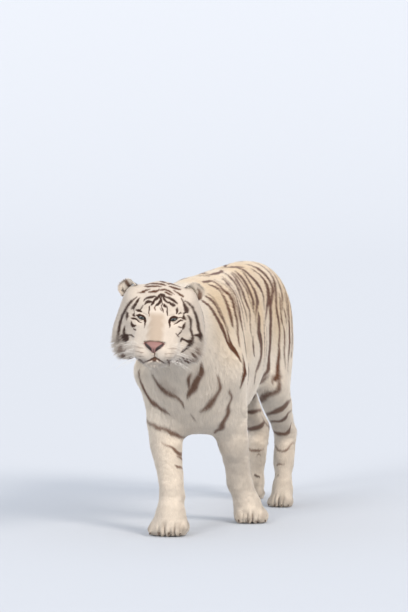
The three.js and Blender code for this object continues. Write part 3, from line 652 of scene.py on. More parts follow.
# Flank: along the body, and down from the spine in degrees about the trunk's axis.
FLANK_DEGREE = 4.4  # millimetres of flank in a degree
FLANK_BROADER = 1.3  # the flanks' marks are painted broader than they are listed
FLANK = [
    # neck and shoulder
    [(-348, 12, 4), (-340, 24, 10), (-346, 34, 12), (-332, 46, 9), (-326, 60, 4)],
    [(-302, 9, 4), (-294, 20, 11), (-300, 31, 12), (-290, 42, 5)],
    [(-238, 22, 8), (-204, 28, 14), (-180, 33, 18), (-160, 39, 20), (-132, 46, 18), (-100, 66, 12),
     (-83, 80, 6)],
    [(-183, 21, 6), (-153, 26, 12), (-134, 30, 12), (-116, 37, 12), (-99, 43, 10), (-88, 55, 8),
     (-80, 70, 13), (-72, 82, 15), (-66, 92, 6)],
    [(-150, 20, 3), (-122, 26, 6), (-104, 34, 6), (-84, 44, 5), (-70, 56, 3)],
    [(-60, 12, 6), (-36, 16, 12), (-20, 20, 14), (-18, 25, 12), (-22, 33, 16), (-28, 42, 15),
     (-36, 52, 7)],
    [(-78, 9, 6), (5, 11, 12), (10, 19, 14), (8, 24, 12), (22, 28, 14), (25, 33, 18), (18, 39, 18),
     (10, 47, 14), (0, 54, 12), (-20, 64, 11), (-34, 76, 6)],
    [(44, 12, 3), (50, 20, 6), (52, 30, 7), (44, 40, 6), (34, 52, 3)],
    [(140, 13, 8), (117, 18, 12), (86, 21, 14), (75, 25, 14), (85, 30, 16), (75, 37, 18), (60, 43, 16),
     (50, 50, 14), (42, 58, 12), (60, 68, 12), (74, 78, 12), (80, 90, 6)],
    [(170, 10, 4), (140, 20, 7), (122, 28, 8), (122, 38, 8), (110, 48, 6), (104, 60, 3)],
    [(256, 5, 6), (247, 9, 12), (224, 15, 16), (206, 19, 16), (190, 24, 16), (172, 28, 14), (160, 33, 12),
     (160, 42, 10), (154, 50, 5)],
    # ribs
    [(300, 11, 6), (262, 16, 12), (240, 20, 14), (224, 25, 16), (207, 32, 17), (208, 38, 17),
     (212, 43, 14), (196, 49, 12), (182, 58, 9), (186, 68, 4)],
    [(330, 10, 6), (317, 13, 10), (282, 20, 12), (276, 27, 12), (262, 33, 8), (252, 40, 4)],
    [(370, 9, 6), (333, 18, 18), (312, 25, 22), (299, 31, 24), (294, 36, 18), (273, 40, 12), (262, 46, 6)],
    [(430, 11, 6), (395, 18, 12), (375, 24, 18), (375, 30, 24), (367, 34, 24), (337, 38, 18),
     (305, 43, 14), (276, 49, 10), (258, 57, 5)],
    [(208, 68, 5), (200, 76, 16), (206, 84, 16), (220, 93, 6)],
    [(326, 46, 10), (320, 52, 26), (298, 60, 34), (290, 66, 36), (312, 73, 38), (325, 82, 40),
     (326, 91, 36), (318, 99, 30), (290, 106, 24), (262, 114, 16), (262, 126, 8)],
    [(400, 52, 4), (392, 64, 9), (398, 80, 11), (414, 96, 10), (404, 116, 5)],
    [(450, 4, 10), (465, 11, 26), (457, 17, 30), (475, 23, 30), (496, 27, 26), (498, 31, 18),
     (480, 36, 12), (450, 43, 6)],
    [(470, 60, 5), (464, 76, 11), (478, 94, 12), (470, 112, 10), (446, 130, 5)],
    # waist and rump
    [(560, 13, 8), (585, 19, 14), (590, 25, 20), (582, 30, 24), (565, 35, 24), (537, 39, 20),
     (492, 45, 14), (445, 51, 10), (420, 58, 5)],
    [(600, 6, 8), (627, 13, 18), (633, 17, 20), (642, 23, 22), (637, 29, 20), (618, 33, 16), (590, 37, 14),
     (566, 42, 22), (560, 50, 30), (553, 60, 34), (555, 78, 36), (556, 96, 36), (557, 114, 34),
     (560, 124, 30), (535, 133, 28), (500, 141, 16)],
    [(700, 15, 6), (695, 21, 10), (683, 27, 14), (668, 30, 14), (650, 35, 13), (636, 39, 12),
     (632, 44, 11), (638, 51, 13), (655, 59, 14), (667, 68, 14), (663, 82, 13), (663, 98, 14),
     (654, 109, 15), (640, 120, 16), (612, 132, 10)],
    [(740, 17, 6), (736, 22, 9), (732, 27, 12), (725, 33, 13), (717, 37, 12), (700, 42, 10), (694, 48, 5)],
    [(690, 34, 4), (683, 38, 9), (674, 44, 11), (674, 50, 10), (684, 56, 8), (694, 62, 4)],
    [(712, 48, 4), (722, 55, 8), (728, 62, 4)],
    [(756, 36, 5), (752, 44, 10), (748, 51, 9), (742, 60, 4)],
    [(706, 66, 5), (714, 78, 9), (710, 91, 10), (704, 104, 10), (694, 118, 5)],
    [(795, 22, 7), (788, 34, 13), (774, 50, 13), (768, 66, 14), (774, 84, 15), (760, 104, 13),
     (735, 124, 7)],
    [(842, 26, 7), (834, 44, 13), (822, 62, 13), (818, 84, 12), (806, 108, 8)],
    [(886, 30, 7), (878, 52, 12), (864, 78, 12), (856, 102, 7)],
    # round the back of the thigh
    [(902, 88, 4), (940, 96, 11), (985, 102, 12), (1012, 106, 5)],
    [(880, 112, 4), (925, 119, 12), (975, 124, 12), (1005, 127, 5)],
    [(850, 134, 4), (905, 141, 12), (960, 145, 12), (1000, 147, 5)],
    # behind the elbow, and the breast
    [(-28, 84, 4), (-38, 94, 15), (-45, 103, 24), (-46, 111, 20), (-40, 121, 5)],
    [(100, 96, 4), (118, 106, 8), (122, 118, 8), (110, 130, 4)],
]
# Spine: short dark marks across it, along the body and down the sides as for the flanks.
SPINE = [
    [(55, -8, 8), (62, 0, 14), (85, 5, 14)],
    [(110, 4, 8), (180, 5, 12), (270, 4, 11), (320, 2, 5)],
    [(390, -4, 6), (430, 2, 12), (480, 4, 14), (510, 7, 8)],
    [(700, -7, 6), (712, 0, 12), (705, 10, 12), (696, 17, 6)],
    [(790, -8, 6), (800, 0, 12), (794, 12, 12), (792, 22, 6)],
    [(870, -9, 6), (878, 2, 12), (872, 16, 12), (860, 28, 6)],
]
# Chest: across and up, as seen from straight ahead.
CHEST_BROWN = [
    [(-190, 612, 8), (-183, 565, 12), (-170, 530, 14), (-150, 497, 19), (-112, 470, 17), (-66, 447, 6)],
    [(-120, 600, 8), (-95, 570, 17), (-72, 552, 22), (-40, 528, 18), (-12, 511, 14), (4, 480, 5)],
    [(92, 650, 10), (88, 622, 20), (71, 592, 26), (54, 563, 28), (38, 540, 22), (22, 520, 8)],
    [(56, 612, 6), (44, 595, 10), (36, 572, 8), (32, 556, 4)],
    [(132, 600, 4), (130, 560, 8), (117, 532, 10), (99, 498, 14), (80, 477, 15), (54, 464, 7)],
    [(160, 545, 4), (148, 500, 7), (130, 455, 10), (114, 420, 16), (90, 388, 14), (60, 366, 7)],
    [(20, 455, 3), (26, 436, 5), (28, 424, 3)],
]
CHEST_GREY = [
    [(-95, 570, 30), (-65, 556, 50), (-30, 540, 40)],
    [(84, 630, 20), (66, 600, 26), (44, 572, 16)],
]
# Legs: turn about the leg's axis in degrees, 0 at its front and 90 at its outer side, and height.
LEGS = {
    "fore_right": [
        [(70, 428, 5), (45, 414, 11), (14, 404, 12), (-2, 393, 15), (-25, 385, 15), (-40, 373, 15),
         (-56, 362, 13), (-80, 353, 9), (-115, 352, 5)],
        [(0, 341, 3), (-22, 329, 7), (-38, 317, 10), (-52, 307, 12), (-70, 298, 14), (-105, 296, 12),
         (-140, 304, 5)],
        [(-55, 292, 5), (-80, 283, 10), (-110, 276, 5)],
        [(-40, 260, 4), (-57, 249, 10), (-90, 242, 8), (-125, 240, 4)],
    ],
    "fore_left": [
        [(-48, 312, 6), (-58, 312, 18), (-68, 306, 8)],
        [(-60, 364, 5), (-90, 352, 10), (-130, 356, 5)],
        [(-80, 262, 5), (-110, 254, 9), (-140, 260, 4)],
        [(-90, 206, 4), (-115, 200, 7), (-140, 205, 3)],
    ],
    "hind_left": [
        [(100, 456, 4), (135, 470, 12), (170, 468, 6)],
        [(112, 404, 4), (140, 412, 11), (172, 408, 5)],
        [(-30, 508, 14), (-12, 528, 24), (6, 548, 22), (20, 566, 10)],
        [(18, 515, 5), (26, 540, 10), (30, 566, 6)],
        [(-60, 428, 14), (-25, 440, 22), (-5, 461, 22), (10, 472, 18), (26, 484, 16), (34, 500, 14),
         (48, 520, 12), (62, 542, 8)],
        [(-60, 366, 10), (-14, 378, 14), (6, 388, 18), (20, 398, 18), (34, 412, 16), (52, 426, 14),
         (72, 432, 10), (110, 440, 5)],
        [(-50, 338, 5), (-10, 342, 10), (8, 346, 12), (22, 353, 12), (34, 364, 10), (48, 382, 7),
         (90, 392, 4)],
        [(-75, 300, 8), (-28, 292, 14), (-10, 286, 18), (6, 284, 18), (22, 289, 16), (36, 302, 12),
         (56, 324, 8), (95, 334, 4)],
        [(-60, 232, 4), (-36, 226, 7), (-12, 216, 7), (8, 214, 7), (30, 226, 10), (50, 242, 7),
         (90, 248, 4)],
        [(-32, 160, 6), (-4, 166, 5), (20, 168, 3)],
        [(-54, 128, 6), (-46, 127, 5)],
        [(-24, 122, 7), (-18, 122, 6)],
    ],
    "hind_right": [
        [(98, 478, 4), (130, 488, 12), (168, 482, 6)],
        [(118, 420, 4), (144, 428, 11), (172, 424, 5)],
        [(-110, 440, 10), (-60, 434, 24), (-20, 436, 28), (20, 440, 24), (60, 450, 13), (100, 458, 6)],
        [(-110, 372, 8), (-50, 368, 16), (-20, 367, 20), (20, 368, 18), (70, 374, 12), (120, 378, 6)],
        [(-90, 318, 8), (-50, 304, 16), (-22, 292, 18), (10, 286, 18), (50, 284, 14), (100, 292, 6)],
        [(-80, 340, 6), (-84, 310, 12), (-92, 284, 6)],
        [(-60, 200, 4), (-20, 195, 11), (10, 194, 11), (50, 200, 7), (90, 204, 4)],
        [(-46, 92, 8), (-16, 93, 10)],
        [(-40, 176, 4), (-28, 182, 6), (-18, 172, 4)],
    ],
}


def curve(mark):
    """A smooth line through a mark's points, with its width along it."""
    p = np.array(mark, float)
    ends = np.vstack([2 * p[0] - p[1], p, 2 * p[-1] - p[-2]])
    out = []
    for a, b, c, d in zip(ends[:-3], ends[1:-2], ends[2:-1], ends[3:]):
        slope, bend, twist = c - a, 2 * a - 5 * b + 4 * c - d, 3 * b - a - 3 * c + d
        for t in (0, 1 / 3, 2 / 3):
            out.append(b + (slope * t + bend * t**2 + twist * t**3) / 2)
    return np.array(out + [p[-1]])


LEG_MARKS_END = {"fore": 470, "hind": 560}  # height where the legs' marks give way to the trunk's
RING_STEP = 86  # from one ring of the tail to the next

# Clefts between a paw's toes: their place across the paw, as a share of its width, and their depth.
CLEFTS = ((-0.27, 0.75), (0.01, 1.0), (0.28, 0.8))
CLEFT_HALF = 0.1  # half a cleft's breadth, as a share of the paw's width


def toe_slits(q):
    """1 in the clefts between the toes, 0 elsewhere, for points in the body frame."""
    slit = np.zeros(len(q))
    for (x, y), turn, size in TOES.values():
        cos, sin = math.cos(math.radians(turn)), math.sin(math.radians(turn))
        across = (q[:, 0] - x) * cos + (q[:, 1] - y) * sin
        ahead = (q[:, 0] - x) * sin - (q[:, 1] - y) * cos
        near = rise(ahead, -36, -16) * rise(q[:, 2], 60, 34)
        for place, deep in CLEFTS:
            slit = np.maximum(slit, deep * near * hill(across, place * size, size * CLEFT_HALF))
    return slit


def brushed(plane, marks, soft):
    """Ink, 0 to 1, of brushed marks at points of their plane, with edges as wide as `soft`."""
    ink = np.zeros(len(plane))
    for mark in marks:
        line = curve(mark)
        reach = line[:, 2].max() / 2 + soft
        low, high = line[:, :2].min(0) - reach, line[:, :2].max(0) + reach
        near = np.flatnonzero(((plane > low) & (plane < high)).all(1))
        if not len(near):
            continue
        at = plane[near]
        inside = np.full(len(near), -1e9)
        for a, b in zip(line[:-1], line[1:]):
            run = b[:2] - a[:2]
            t = np.clip((at - a[:2]) @ run / max(run @ run, 1e-9), 0, 1)
            far = np.linalg.norm(at - a[:2] - t[:, None] * run, axis=1)
            inside = np.maximum(inside, (a[2] + (b[2] - a[2]) * t) / 2 - far)
        ink[near] = np.maximum(ink[near], rise(inside, -soft / 2, soft / 2))
    return ink


def broader(marks, times):
    return [[(u, v, width * times) for u, v, width in mark] for mark in marks]


def face_plane(points):
    q = (points - EYES_AT) / MM
    return np.stack([q @ FACE_ACROSS, q @ FACE_UP], 1)


def leg_plane(q, limb):
    """Turn about the leg's axis and height of points in the body frame, and their distance from the axis."""
    line = np.array(LIMBS[limb], float)[::-1]
    x = np.interp(q[:, 2], line[:, 2], line[:, 0])
    y = np.interp(q[:, 2], line[:, 2], line[:, 1])
    turn = np.degrees(np.arctan2((q[:, 0] - x) * SIDES[limb.split("_")[1]], y - q[:, 1]))
    return np.stack([turn, q[:, 2]], 1), np.hypot(q[:, 0] - x, q[:, 1] - y)


def warped(plane, points, size, amount, seed):
    """The plane's places, pushed about so that the marks drawn on it waver as hair does."""
    push = np.stack([waver(points, size, seed), waver(points, size, seed + 1)], 1)
    return plane + push * amount


def darken(ink, part, more):
    """Adds ink to some of the points, and leaves what is darker already."""
    ink[part] = np.maximum(ink[part], more)


def front_of_head(plane, forward, up):
    """1 where the face's marks are brushed, 0 behind them. They reach further back on the crown."""
    crown, cheek = rise(forward, -165, -135), rise(forward, -112, -84)
    jaw = rise(up, -84, -100) * rise(forward, -156, -136)
    rim = np.hypot(plane[:, 0] / 125, (plane[:, 1] + 30) / 140)
    front = np.maximum(np.where(up > 60, crown, cheek), jaw)
    return np.maximum(front, rise(rim, 0.97, 1.01) * rise(forward, -175, -150))


def eye_liner(h):
    """The dark skin along the edges of the lids."""
    across, high, _ = eye_plane(h)
    opening = np.where(high > 0, LID_ABOVE, LID_BELOW) * (1 - np.clip(np.abs(across) / LID_HALF, 0, 1) ** 2)
    return rise(np.abs(high) - opening, 2.8, 1.4) * rise(np.abs(across), 18, 15) * (h[:, 1] > -45)


def mark_head(w, points, ink, black):
    part = np.flatnonzero(w["head"] > 0.05)
    q, h = w["q"][part], w["h"][part]
    side, forward, up = h.T
    plane = warped(face_plane(points[part]), q, 9, 0.9, 3)
    front = front_of_head(plane, forward, up)
    dark = brushed(plane, broader(FACE_BLACK, 1.25), 4.0) * front
    brown = brushed(plane, broader(FACE_BROWN, 1.2), 4.0) * front * 0.95
    brown = np.maximum(brown, brushed(plane, broader(CROWN_ARCS, 0.95), 2.5) * front)
    brown = np.maximum(brown, brushed(plane, WHISKER_ROWS, 4.0) * front * 0.6)
    dark = np.maximum(dark, eye_liner(h))
    # behind the cheeks and under the jaw the marks run down the side of the head
    plane = warped(np.stack([forward + 0.12 * up, up], 1), q, 24, 3.0, 5)
    bars = brushed(plane, CHEEK_BARS, 5) * rise(np.abs(side), 62, 84) * (1 - front) * 0.85
    ink[part] = np.maximum(np.maximum(dark, brown), bars)
    black[part] = np.clip(dark * 0.8 + brown * 0.35, 0, 1)


# How each side's marks are laid: shift along the body, then the size, amount and seed of their waver.
FLANK_BRUSH = {"left": (0, 60, 3, 11), "right": (-62, 170, 22, 31)}


def mark_flanks(w, ink):
    x, y, z = w["q"].T
    marks = [[(u, v * FLANK_DEGREE, width * FLANK_BROADER) for u, v, width in mark] for mark in FLANK + SPINE]
    turn = np.degrees(np.arctan2(np.abs(x), z - TRUNK_AXIS))
    for side, (shift, size, sway, seed) in FLANK_BRUSH.items():
        out = x * SIDES[side]
        part = np.flatnonzero((w["body"] > 0.05) & (out > -30) & (z > 400))
        down = np.where(out[part] < 0, -turn[part], turn[part])
        plane = np.stack([y[part] + shift, down * FLANK_DEGREE], 1)
        plane = warped(plane, w["q"][part], size, sway, seed)
        darken(ink, part, brushed(plane, marks, 5) * rise(out[part], -30, 0) * w["body"][part])


def mark_chest(w, normals, ink):
    x, y, z = w["q"].T
    part = np.flatnonzero((w["body"] > 0.05) & (y < 90) & (z > 330) & (z < 680))
    ahead = rise(-normals[part, 1], -0.25, 0.1) * w["body"][part]
    plane = warped(np.stack([x[part], z[part]], 1), w["q"][part], 40, 3.0, 51)
    darken(ink, part, brushed(plane, CHEST_BROWN, 8) * ahead * 0.92)
    darken(ink, part, brushed(plane, CHEST_GREY, 40) * ahead * 0.3)


def mark_legs(w, ink):
    x, y, z = w["q"].T
    for limb, marks in LEGS.items():
        kind, side = limb.split("_")
        top = LEG_MARKS_END[kind]
        place = (y < 380) == (kind == "fore")
        part = np.flatnonzero((z < top) & (np.sign(x) == SIDES[side]) & place)
        plane, far = leg_plane(w["q"][part], limb)
        plane = warped(plane, w["q"][part], 40, 2.5, 71)
        level = rise(z[part], top, top - 30) * (1 - w["tail"][part]) * rise(far, 175, 135)
        darken(ink, part, brushed(plane, marks, 6) * level * 0.88)


def mark_tail(w, ink, black):
    """Rings along the tail and a dark tip."""
    part = np.flatnonzero(w["tail"] > 0.05)
    place, tail = w["tail_at"][part], w["tail"][part]
    ring = np.sin((place + 7 * waver(w["q"][part], 60, 91)) / RING_STEP * 2 * math.pi)
    banded = np.maximum(rise(ring, 0.2, 0.6), rise(place, 850, 880))
    darken(ink, part, banded * tail * 0.9)
    darken(black, part, 0.4 * tail)


def mark_paws(w, ink, black):
    """Painted shade in the clefts between the toes, and painted shade on the paws, darker towards the floor
    and uneven.
    """
    part = np.flatnonzero(w["q"][:, 2] < 120)
    q = w["q"][part]
    # painted shade in the clefts between the toes
    darken(ink, part, 0.7 * rise(toe_slits(q), 0.5, 1.0))
    # painted shade on the paws, darker towards the floor and uneven
    darken(ink, part, 0.36 * rise(q[:, 2], 110, 36) * (0.6 + 0.4 * waver(q, 30, 17)))
    darken(black, part, 0.6)


def markings(points, normals):
    """How much ink, black in it, and warmth of the ground each point has, 0 to 1."""
    w = zones(points)
    y, z = w["q"][:, 1], w["q"][:, 2]
    head = w["head"]
    ink, black = np.zeros(len(points)), np.zeros(len(points))
    mark_head(w, points, ink, black)
    mark_flanks(w, ink)
    mark_chest(w, normals, ink)
    mark_legs(w, ink)
    mark_tail(w, ink, black)
    mark_paws(w, ink, black)
    # ground: cream along the back, tan on the bridge of the nose that is partly painted shade, faint brown on
    # the face and the low legs
    wide, up = np.abs(w["h"][:, 0]) + 4 * waver(w["q"], 30, 23), w["h"][:, 2]
    bridge = head * rise(wide, 62, 14) * rise(up, 50, 6) * rise(up, -112, -66)
    warm = rise(z, 500, 740) * rise(y, -420, -120) * (0.8 + 0.2 * waver(w["q"], 200, 7))
    warm = np.maximum(warm, 0.4) * (1 - head) + 0.3 * head
    # the bridge's tan and its brown wash are its own colour and partly painted shade
    warm = np.maximum(warm, bridge * 0.55)
    wash = np.maximum(bridge * 0.5, head * 0.28)
    wash = np.maximum(wash, 0.13 * rise(z, 430, 300))
    black = np.where(ink < wash, 0.3, black)
    ink = np.maximum(ink, wash)
    return np.clip(ink, 0, 1), np.clip(black, 0, 1), np.clip(warm, 0, 1)


# Inside each ear: painted shade in its hollow, brown, then the black nick at the ear's outer foot, out and up
# from its middle.
EAR_HOLLOW_SHADE = {
    "left": [(24, 12, 5), (32, -6, 15), (33, -20, 15), (28, -32, 6)],
    "right": [(29, 38, 5), (21, 24, 13), (11, 10, 15), (0, -4, 10)],
}
EAR_NICK = {"left": [(42, -30, 5), (43, -42, 8)], "right": [(30, -2, 5), (29, -14, 8)]}


def ear_marks(points, normals, ear, ink, black, warm):
    """Ears: pale hair within with painted shade darkening the hollow, and black behind with a white spot."""
    side, up, within = ear_places(points, normals)
    plane = np.stack([side, up], 1)
    left = head_mm(points)[:, 0] > 0
    hollow_shade = np.where(left, *(brushed(plane, [EAR_HOLLOW_SHADE[name]], 9) for name in SIDES))
    nick = np.where(left, *(brushed(plane, [EAR_NICK[name]], 4) for name in SIDES))
    spot = rise(np.hypot(side, up - 8), 22, 15)
    rim = rise(np.hypot(side, up), 33, 40)
    # the hollow's brown is painted shade
    front = within * np.maximum(hollow_shade * 0.9, 0.3 * rim)
    back = (1 - within) * (1 - spot) * (1 - rim) * 0.92
    own_ink = np.maximum(front + back, nick * 0.9)
    own_black = np.maximum((1 - within) * 0.9 + within * 0.2, nick)
    own_warm = 0.3 * within + 0.1
    return towards(ink, own_ink, ear), towards(black, own_black, ear), towards(warm, own_warm, ear)


def mark_mesh(mesh, ink, black, warm, depth, tone):
    for name, values in {"ink": ink, "black": black, "warm": warm, "depth": depth, "tone": tone}.items():
        store(mesh, name, np.broadcast_to(values, len(mesh.vertices)))


# ------------------------------------------------------------------ skin
FLESH = [
    "neck", "chest", "belly", "rump", "shoulder_left", "shoulder_right", "thigh_left", "thigh_right",
    "forearm_left", "forearm_right", "forepaw_left", "forepaw_right", "shank_left", "shank_right",
    "hind_foot_left", "hind_foot_right", "hindpaw_left", "hindpaw_right",
    "tail_base", "tail_middle", "tail_tip", "head", "lower_jaw",
]
EARS = ["ear_left", "ear_right"]
NOSE_WIDTH = [(-22, 2), (-19, 5), (-13, 9), (-7, 15), (-1, 23), (5, 32), (11, 38), (16, 36), (22, 16)]
LID_HALF, LID_ABOVE, LID_BELOW = 15.5, 5.2, 4.6  # half width and heights of the opening between the lids
LID_SLANT = 14  # the outer corner's rise, in degrees
MOUTH_LINES = [
    [(-9, -120, 4), (-9, -137, 5)],
    [(-9, -140, 8), (-20, -148, 7), (-34, -154, 6), (-48, -158, 5), (-60, -155, 4), (-74, -147, 3)],
    [(-9, -140, 8), (3, -148, 7), (14, -155, 6), (25, -161, 5), (36, -162, 4), (50, -153, 3)],
]


def of_head(points, behind):
    """Whether each point is of the head and forward of that place."""
    return (head_mm(points)[:, 1] > behind) & (body_mm(points)[:, 2] > HEAD_LOWEST)


def of_toes(points):
    return body_mm(points)[:, 2] < TOES_HIGH


def near_eye(points):
    return eye_plane(head_mm(points))[2] < 27


def refined(piece, chosen):
    """Splits the chosen faces in four. `chosen` takes face centres in the part frame."""
    mesh = piece.data
    centre = np.empty(len(mesh.polygons) * 3, np.float32)
    mesh.polygons.foreach_get("center", centre)
    pick = chosen(centre.reshape(-1, 3).astype(float))
    alone(piece)
    bpy.ops.object.mode_set(mode="EDIT")
    bpy.ops.mesh.select_mode(type="FACE")
    bpy.ops.mesh.select_all(action="DESELECT")
    bpy.ops.object.mode_set(mode="OBJECT")
    mesh.polygons.foreach_set("select", pick)
    bpy.ops.object.mode_set(mode="EDIT")
    bpy.ops.mesh.subdivide(number_cuts=1)
    bpy.ops.object.mode_set(mode="OBJECT")


def eye_plane(h):
    """For points of the head: across and up on the nearer eye's opening, and distance from its middle."""
    out = np.abs(h[:, 0]) - EYE_SPACING
    slant = math.radians(LID_SLANT)
    across = out * math.cos(slant) + h[:, 2] * math.sin(slant)
    high = h[:, 2] * math.cos(slant) - out * math.sin(slant)
    return across, high, np.hypot(out, h[:, 2])


def opened(h):
    """1 inside the eyelids' opening, 0 outside, for points of the head."""
    across, high, _ = eye_plane(h)
    shape = 1 - np.clip(np.abs(across) / LID_HALF, 0, 1) ** 2
    edge = np.where(high > 0, LID_ABOVE, LID_BELOW) * shape
    within = rise(LID_HALF - np.abs(across), 0, 1.5)
    return rise(edge - np.abs(high), -0.6, 1.4) * within * rise(h[:, 1], -60, -40)


LID_THICK = 3.0  # lid over the eyeball
LID_FOLD = 15.5  # the fold's height above the eye's middle
NOSTRIL_SEAT = 9  # how far the skin steps back behind the nose leather
MOUTH_DEEP = 4.5
CLEFT_DEEP = 9


def sculpted(co, normals):
    """Lids, mouth line, lip cleft and the slits between the toes, cut into the finished skin."""
    h = head_mm(co)
    at_head = of_head(co, -70)
    _, high, far = eye_plane(h)
    ball = -EYE_DEPTH + np.sqrt(np.maximum(EYE_RADIUS**2 - far**2, 30))
    rounded = rise(far, 30, 17) * at_head
    fold = np.exp(-(((high - LID_FOLD) / 2.2) ** 2)) * rise(far, 30, 22)
    hole = opened(h)
    over_ball = towards(h[:, 1], np.maximum(ball + LID_THICK, h[:, 1] - 1.5), rounded)
    h[:, 1] = np.where(at_head, over_ball - 1.6 * fold * at_head, h[:, 1])
    h[:, 1] -= (h[:, 1] - ball + LID_THICK) * hole * at_head
    nose = h - NOSE_AT
    half = np.interp(nose[:, 2], *zip(*NOSE_WIDTH))
    behind = rise(half - np.abs(nose[:, 0]), -0.5, 2.5) * rise(np.abs(nose[:, 2]), 22, 19)
    h[:, 1] -= NOSTRIL_SEAT * behind * (nose[:, 1] > -14) * at_head
    front = at_head & (h[:, 1] > 40)
    h[:, 1] -= MOUTH_DEEP * brushed(face_plane(co), MOUTH_LINES, 5.0) * front
    toes = co - normals * (CLEFT_DEEP * MM * toe_slits(body_mm(co)))[:, None]
    return np.where(of_toes(co)[:, None], toes, from_head(h))


def smooth_skin():
    """The solids of the flesh made one closed skin, relaxed so that no seam between them shows."""
    piece = copied(FLESH + ["eye_left", "eye_right", "nose"], "skin")
    applied(piece, "REMESH", mode="VOXEL", voxel_size=sizes().cell)
    mesh = piece.data
    co = points_of(mesh)
    w = zones(co)
    y, z = w["q"][:, 1], w["q"][:, 2]
    leg = np.where(y < LEGS_APART, rise(z, 540, 220), rise(z, 600, 300))
    thin = np.clip(w["head"] + w["paw"] + w["tail"] + leg, 0, 1)[:, None]
    edges = edges_of(mesh)
    co = relaxed(co, edges, 14, 0.55, 0.02)
    co = relaxed(co, edges, 26, 0.5 * (1 - thin))
    move_points(mesh, co)
    refined(piece, lambda c: of_head(c, -130) | of_toes(c))
    refined(piece, lambda c: of_head(c, -36) & (np.abs(head_mm(c)[:, 0]) < 92))
    refined(piece, lambda c: of_head(c, -45) & near_eye(c))
    return piece


def with_ears(piece):
    """Joins the ears to the skin, and stores which points are theirs."""
    ears = copied(EARS, "ears")
    applied(ears, "SUBSURF", levels=2, render_levels=2)
    count = len(piece.data.vertices)
    alone(ears)
    piece.select_set(True)
    bpy.context.view_layer.objects.active = piece
    bpy.ops.object.join()
    ear = np.zeros(len(piece.data.vertices))
    ear[count:] = 1
    store(piece.data, "ear", ear)
    return ear


def make_skin():
    piece = smooth_skin()
    ear = with_ears(piece)
    mesh = piece.data
    co = points_of(mesh)
    w = zones(co)
    fine = (np.clip(w["head"] + w["paw"], 0, 1) * (1 - ear))[:, None]
    co = relaxed(co, edges_of(mesh), 4, 0.5 * fine)
    move_points(mesh, co)
    # the solids reach to the tips of the coat, so the skin lies as deep below them as the hair stands
    normals = normals_of(mesh)
    length, _, lift, _ = coat(co, normals)
    inset = length * np.sin(np.radians(lift)) * 0.95 + 0.5
    off_floor = rise(body_mm(co)[:, 2], 3, 14) * (1 - ear)
    co = co - normals * (inset * MM * off_floor)[:, None]
    co = np.where(ear[:, None] > 0, co, sculpted(co, normals))
    co[:, 2] = np.maximum(co[:, 2], 0)
    move_points(mesh, co)
    normals = normals_of(mesh)
    marks = ear_marks(co, normals, ear, *markings(co, normals))
    # a depth of 0.7 gives the skin a little painted shade under the tufts
    mark_mesh(mesh, *marks, depth=0.7, tone=0.5)
    mesh.materials.clear()
    mesh.materials.append(skin_material())
    mesh.polygons.foreach_set("material_index", np.zeros(len(mesh.polygons), np.int32))
    mesh.polygons.foreach_set("use_smooth", np.ones(len(mesh.polygons), bool))
    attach(piece, BODY)
    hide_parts(*FLESH, *EARS)


# ------------------------------------------------------------------ coat
def triangles_of(mesh):
    mesh.calc_loop_triangles()
    out = np.empty(len(mesh.loop_triangles) * 3, np.int32)
    mesh.loop_triangles.foreach_get("vertices", out)
    return out.reshape(-1, 3)


def bare(points):
    """Where no hair grows: the opening between the lids and the nose leather."""
    h = head_mm(points)
    nose = np.linalg.norm((h - NOSE_AT) / (NOSE_SIZE * [1.0, 1.3, 1.0]), axis=1) < 0.98
    return (opened(h) > 0.1) & (body_mm(points)[:, 2] > HEAD_LOWEST) | nose


def rooted(rng, co, normals, tris, layers, lie):
    """Tufts' roots over the skin's triangles, so many that `layers` of them lie over each other."""
    a, b, c = co[tris[:, 0]], co[tris[:, 1]], co[tris[:, 2]]
    area = np.linalg.norm(np.cross(b - a, c - a), axis=1) / 2 / MM**2
    centre = (a + b + c) / 3
    facing = unit(normals[tris].mean(1))
    length, width, _, _ = lie(centre, facing)
    sole = (centre[:, 2] < 8 * MM) & (facing[:, 2] < -0.3)
    expected = np.where(sole, 0, area * layers / (0.5 * length * width))
    expected = np.where(bare(centre), 0, expected)
    number = np.floor(expected + rng.random(len(tris))).astype(int)
    pick = np.repeat(np.arange(len(tris)), number)
    r = rng.random((len(pick), 2))
    flip = r.sum(1) > 1
    r[flip] = 1 - r[flip]
    bary = np.stack([1 - r.sum(1), r[:, 0], r[:, 1]], 1)[:, :, None]
    return (co[tris[pick]] * bary).sum(1), unit((normals[tris[pick]] * bary).sum(1))


# A tuft is closed and pointed: a three-cornered root, on a bent one a three-cornered knee, and a tip. Each
# kind has its faces, each corner's depth in the coat, the places along the tuft where the marks are looked
# up, and which of these each corner takes.
STRAIGHT = {
    "faces": [(0, 1, 2), (0, 3, 1), (1, 3, 2), (2, 3, 0)],
    "depths": [0.1, 0.1, 0.35, 1.0],
    "looks": (0.35, 0.75),
    "takes": (0, 0, 0, 1),
}
BENT = {
    "faces": [
        (0, 1, 2), (0, 4, 1), (0, 3, 4), (1, 5, 2), (1, 4, 5),
        (2, 3, 0), (2, 5, 3), (3, 6, 4), (4, 6, 5), (5, 6, 3),
    ],
    "depths": [0.0, 0.0, 0.15, 0.7, 0.7, 0.75, 1.0],
    "looks": (0.3, 0.6, 0.9),
    "takes": (0, 0, 0, 1, 1, 1, 2),
}
ROOT_DEPTH = 1 * MM  # roots start this far below the skin
PATCH = 0.003  # side of a tuft's patch on the map


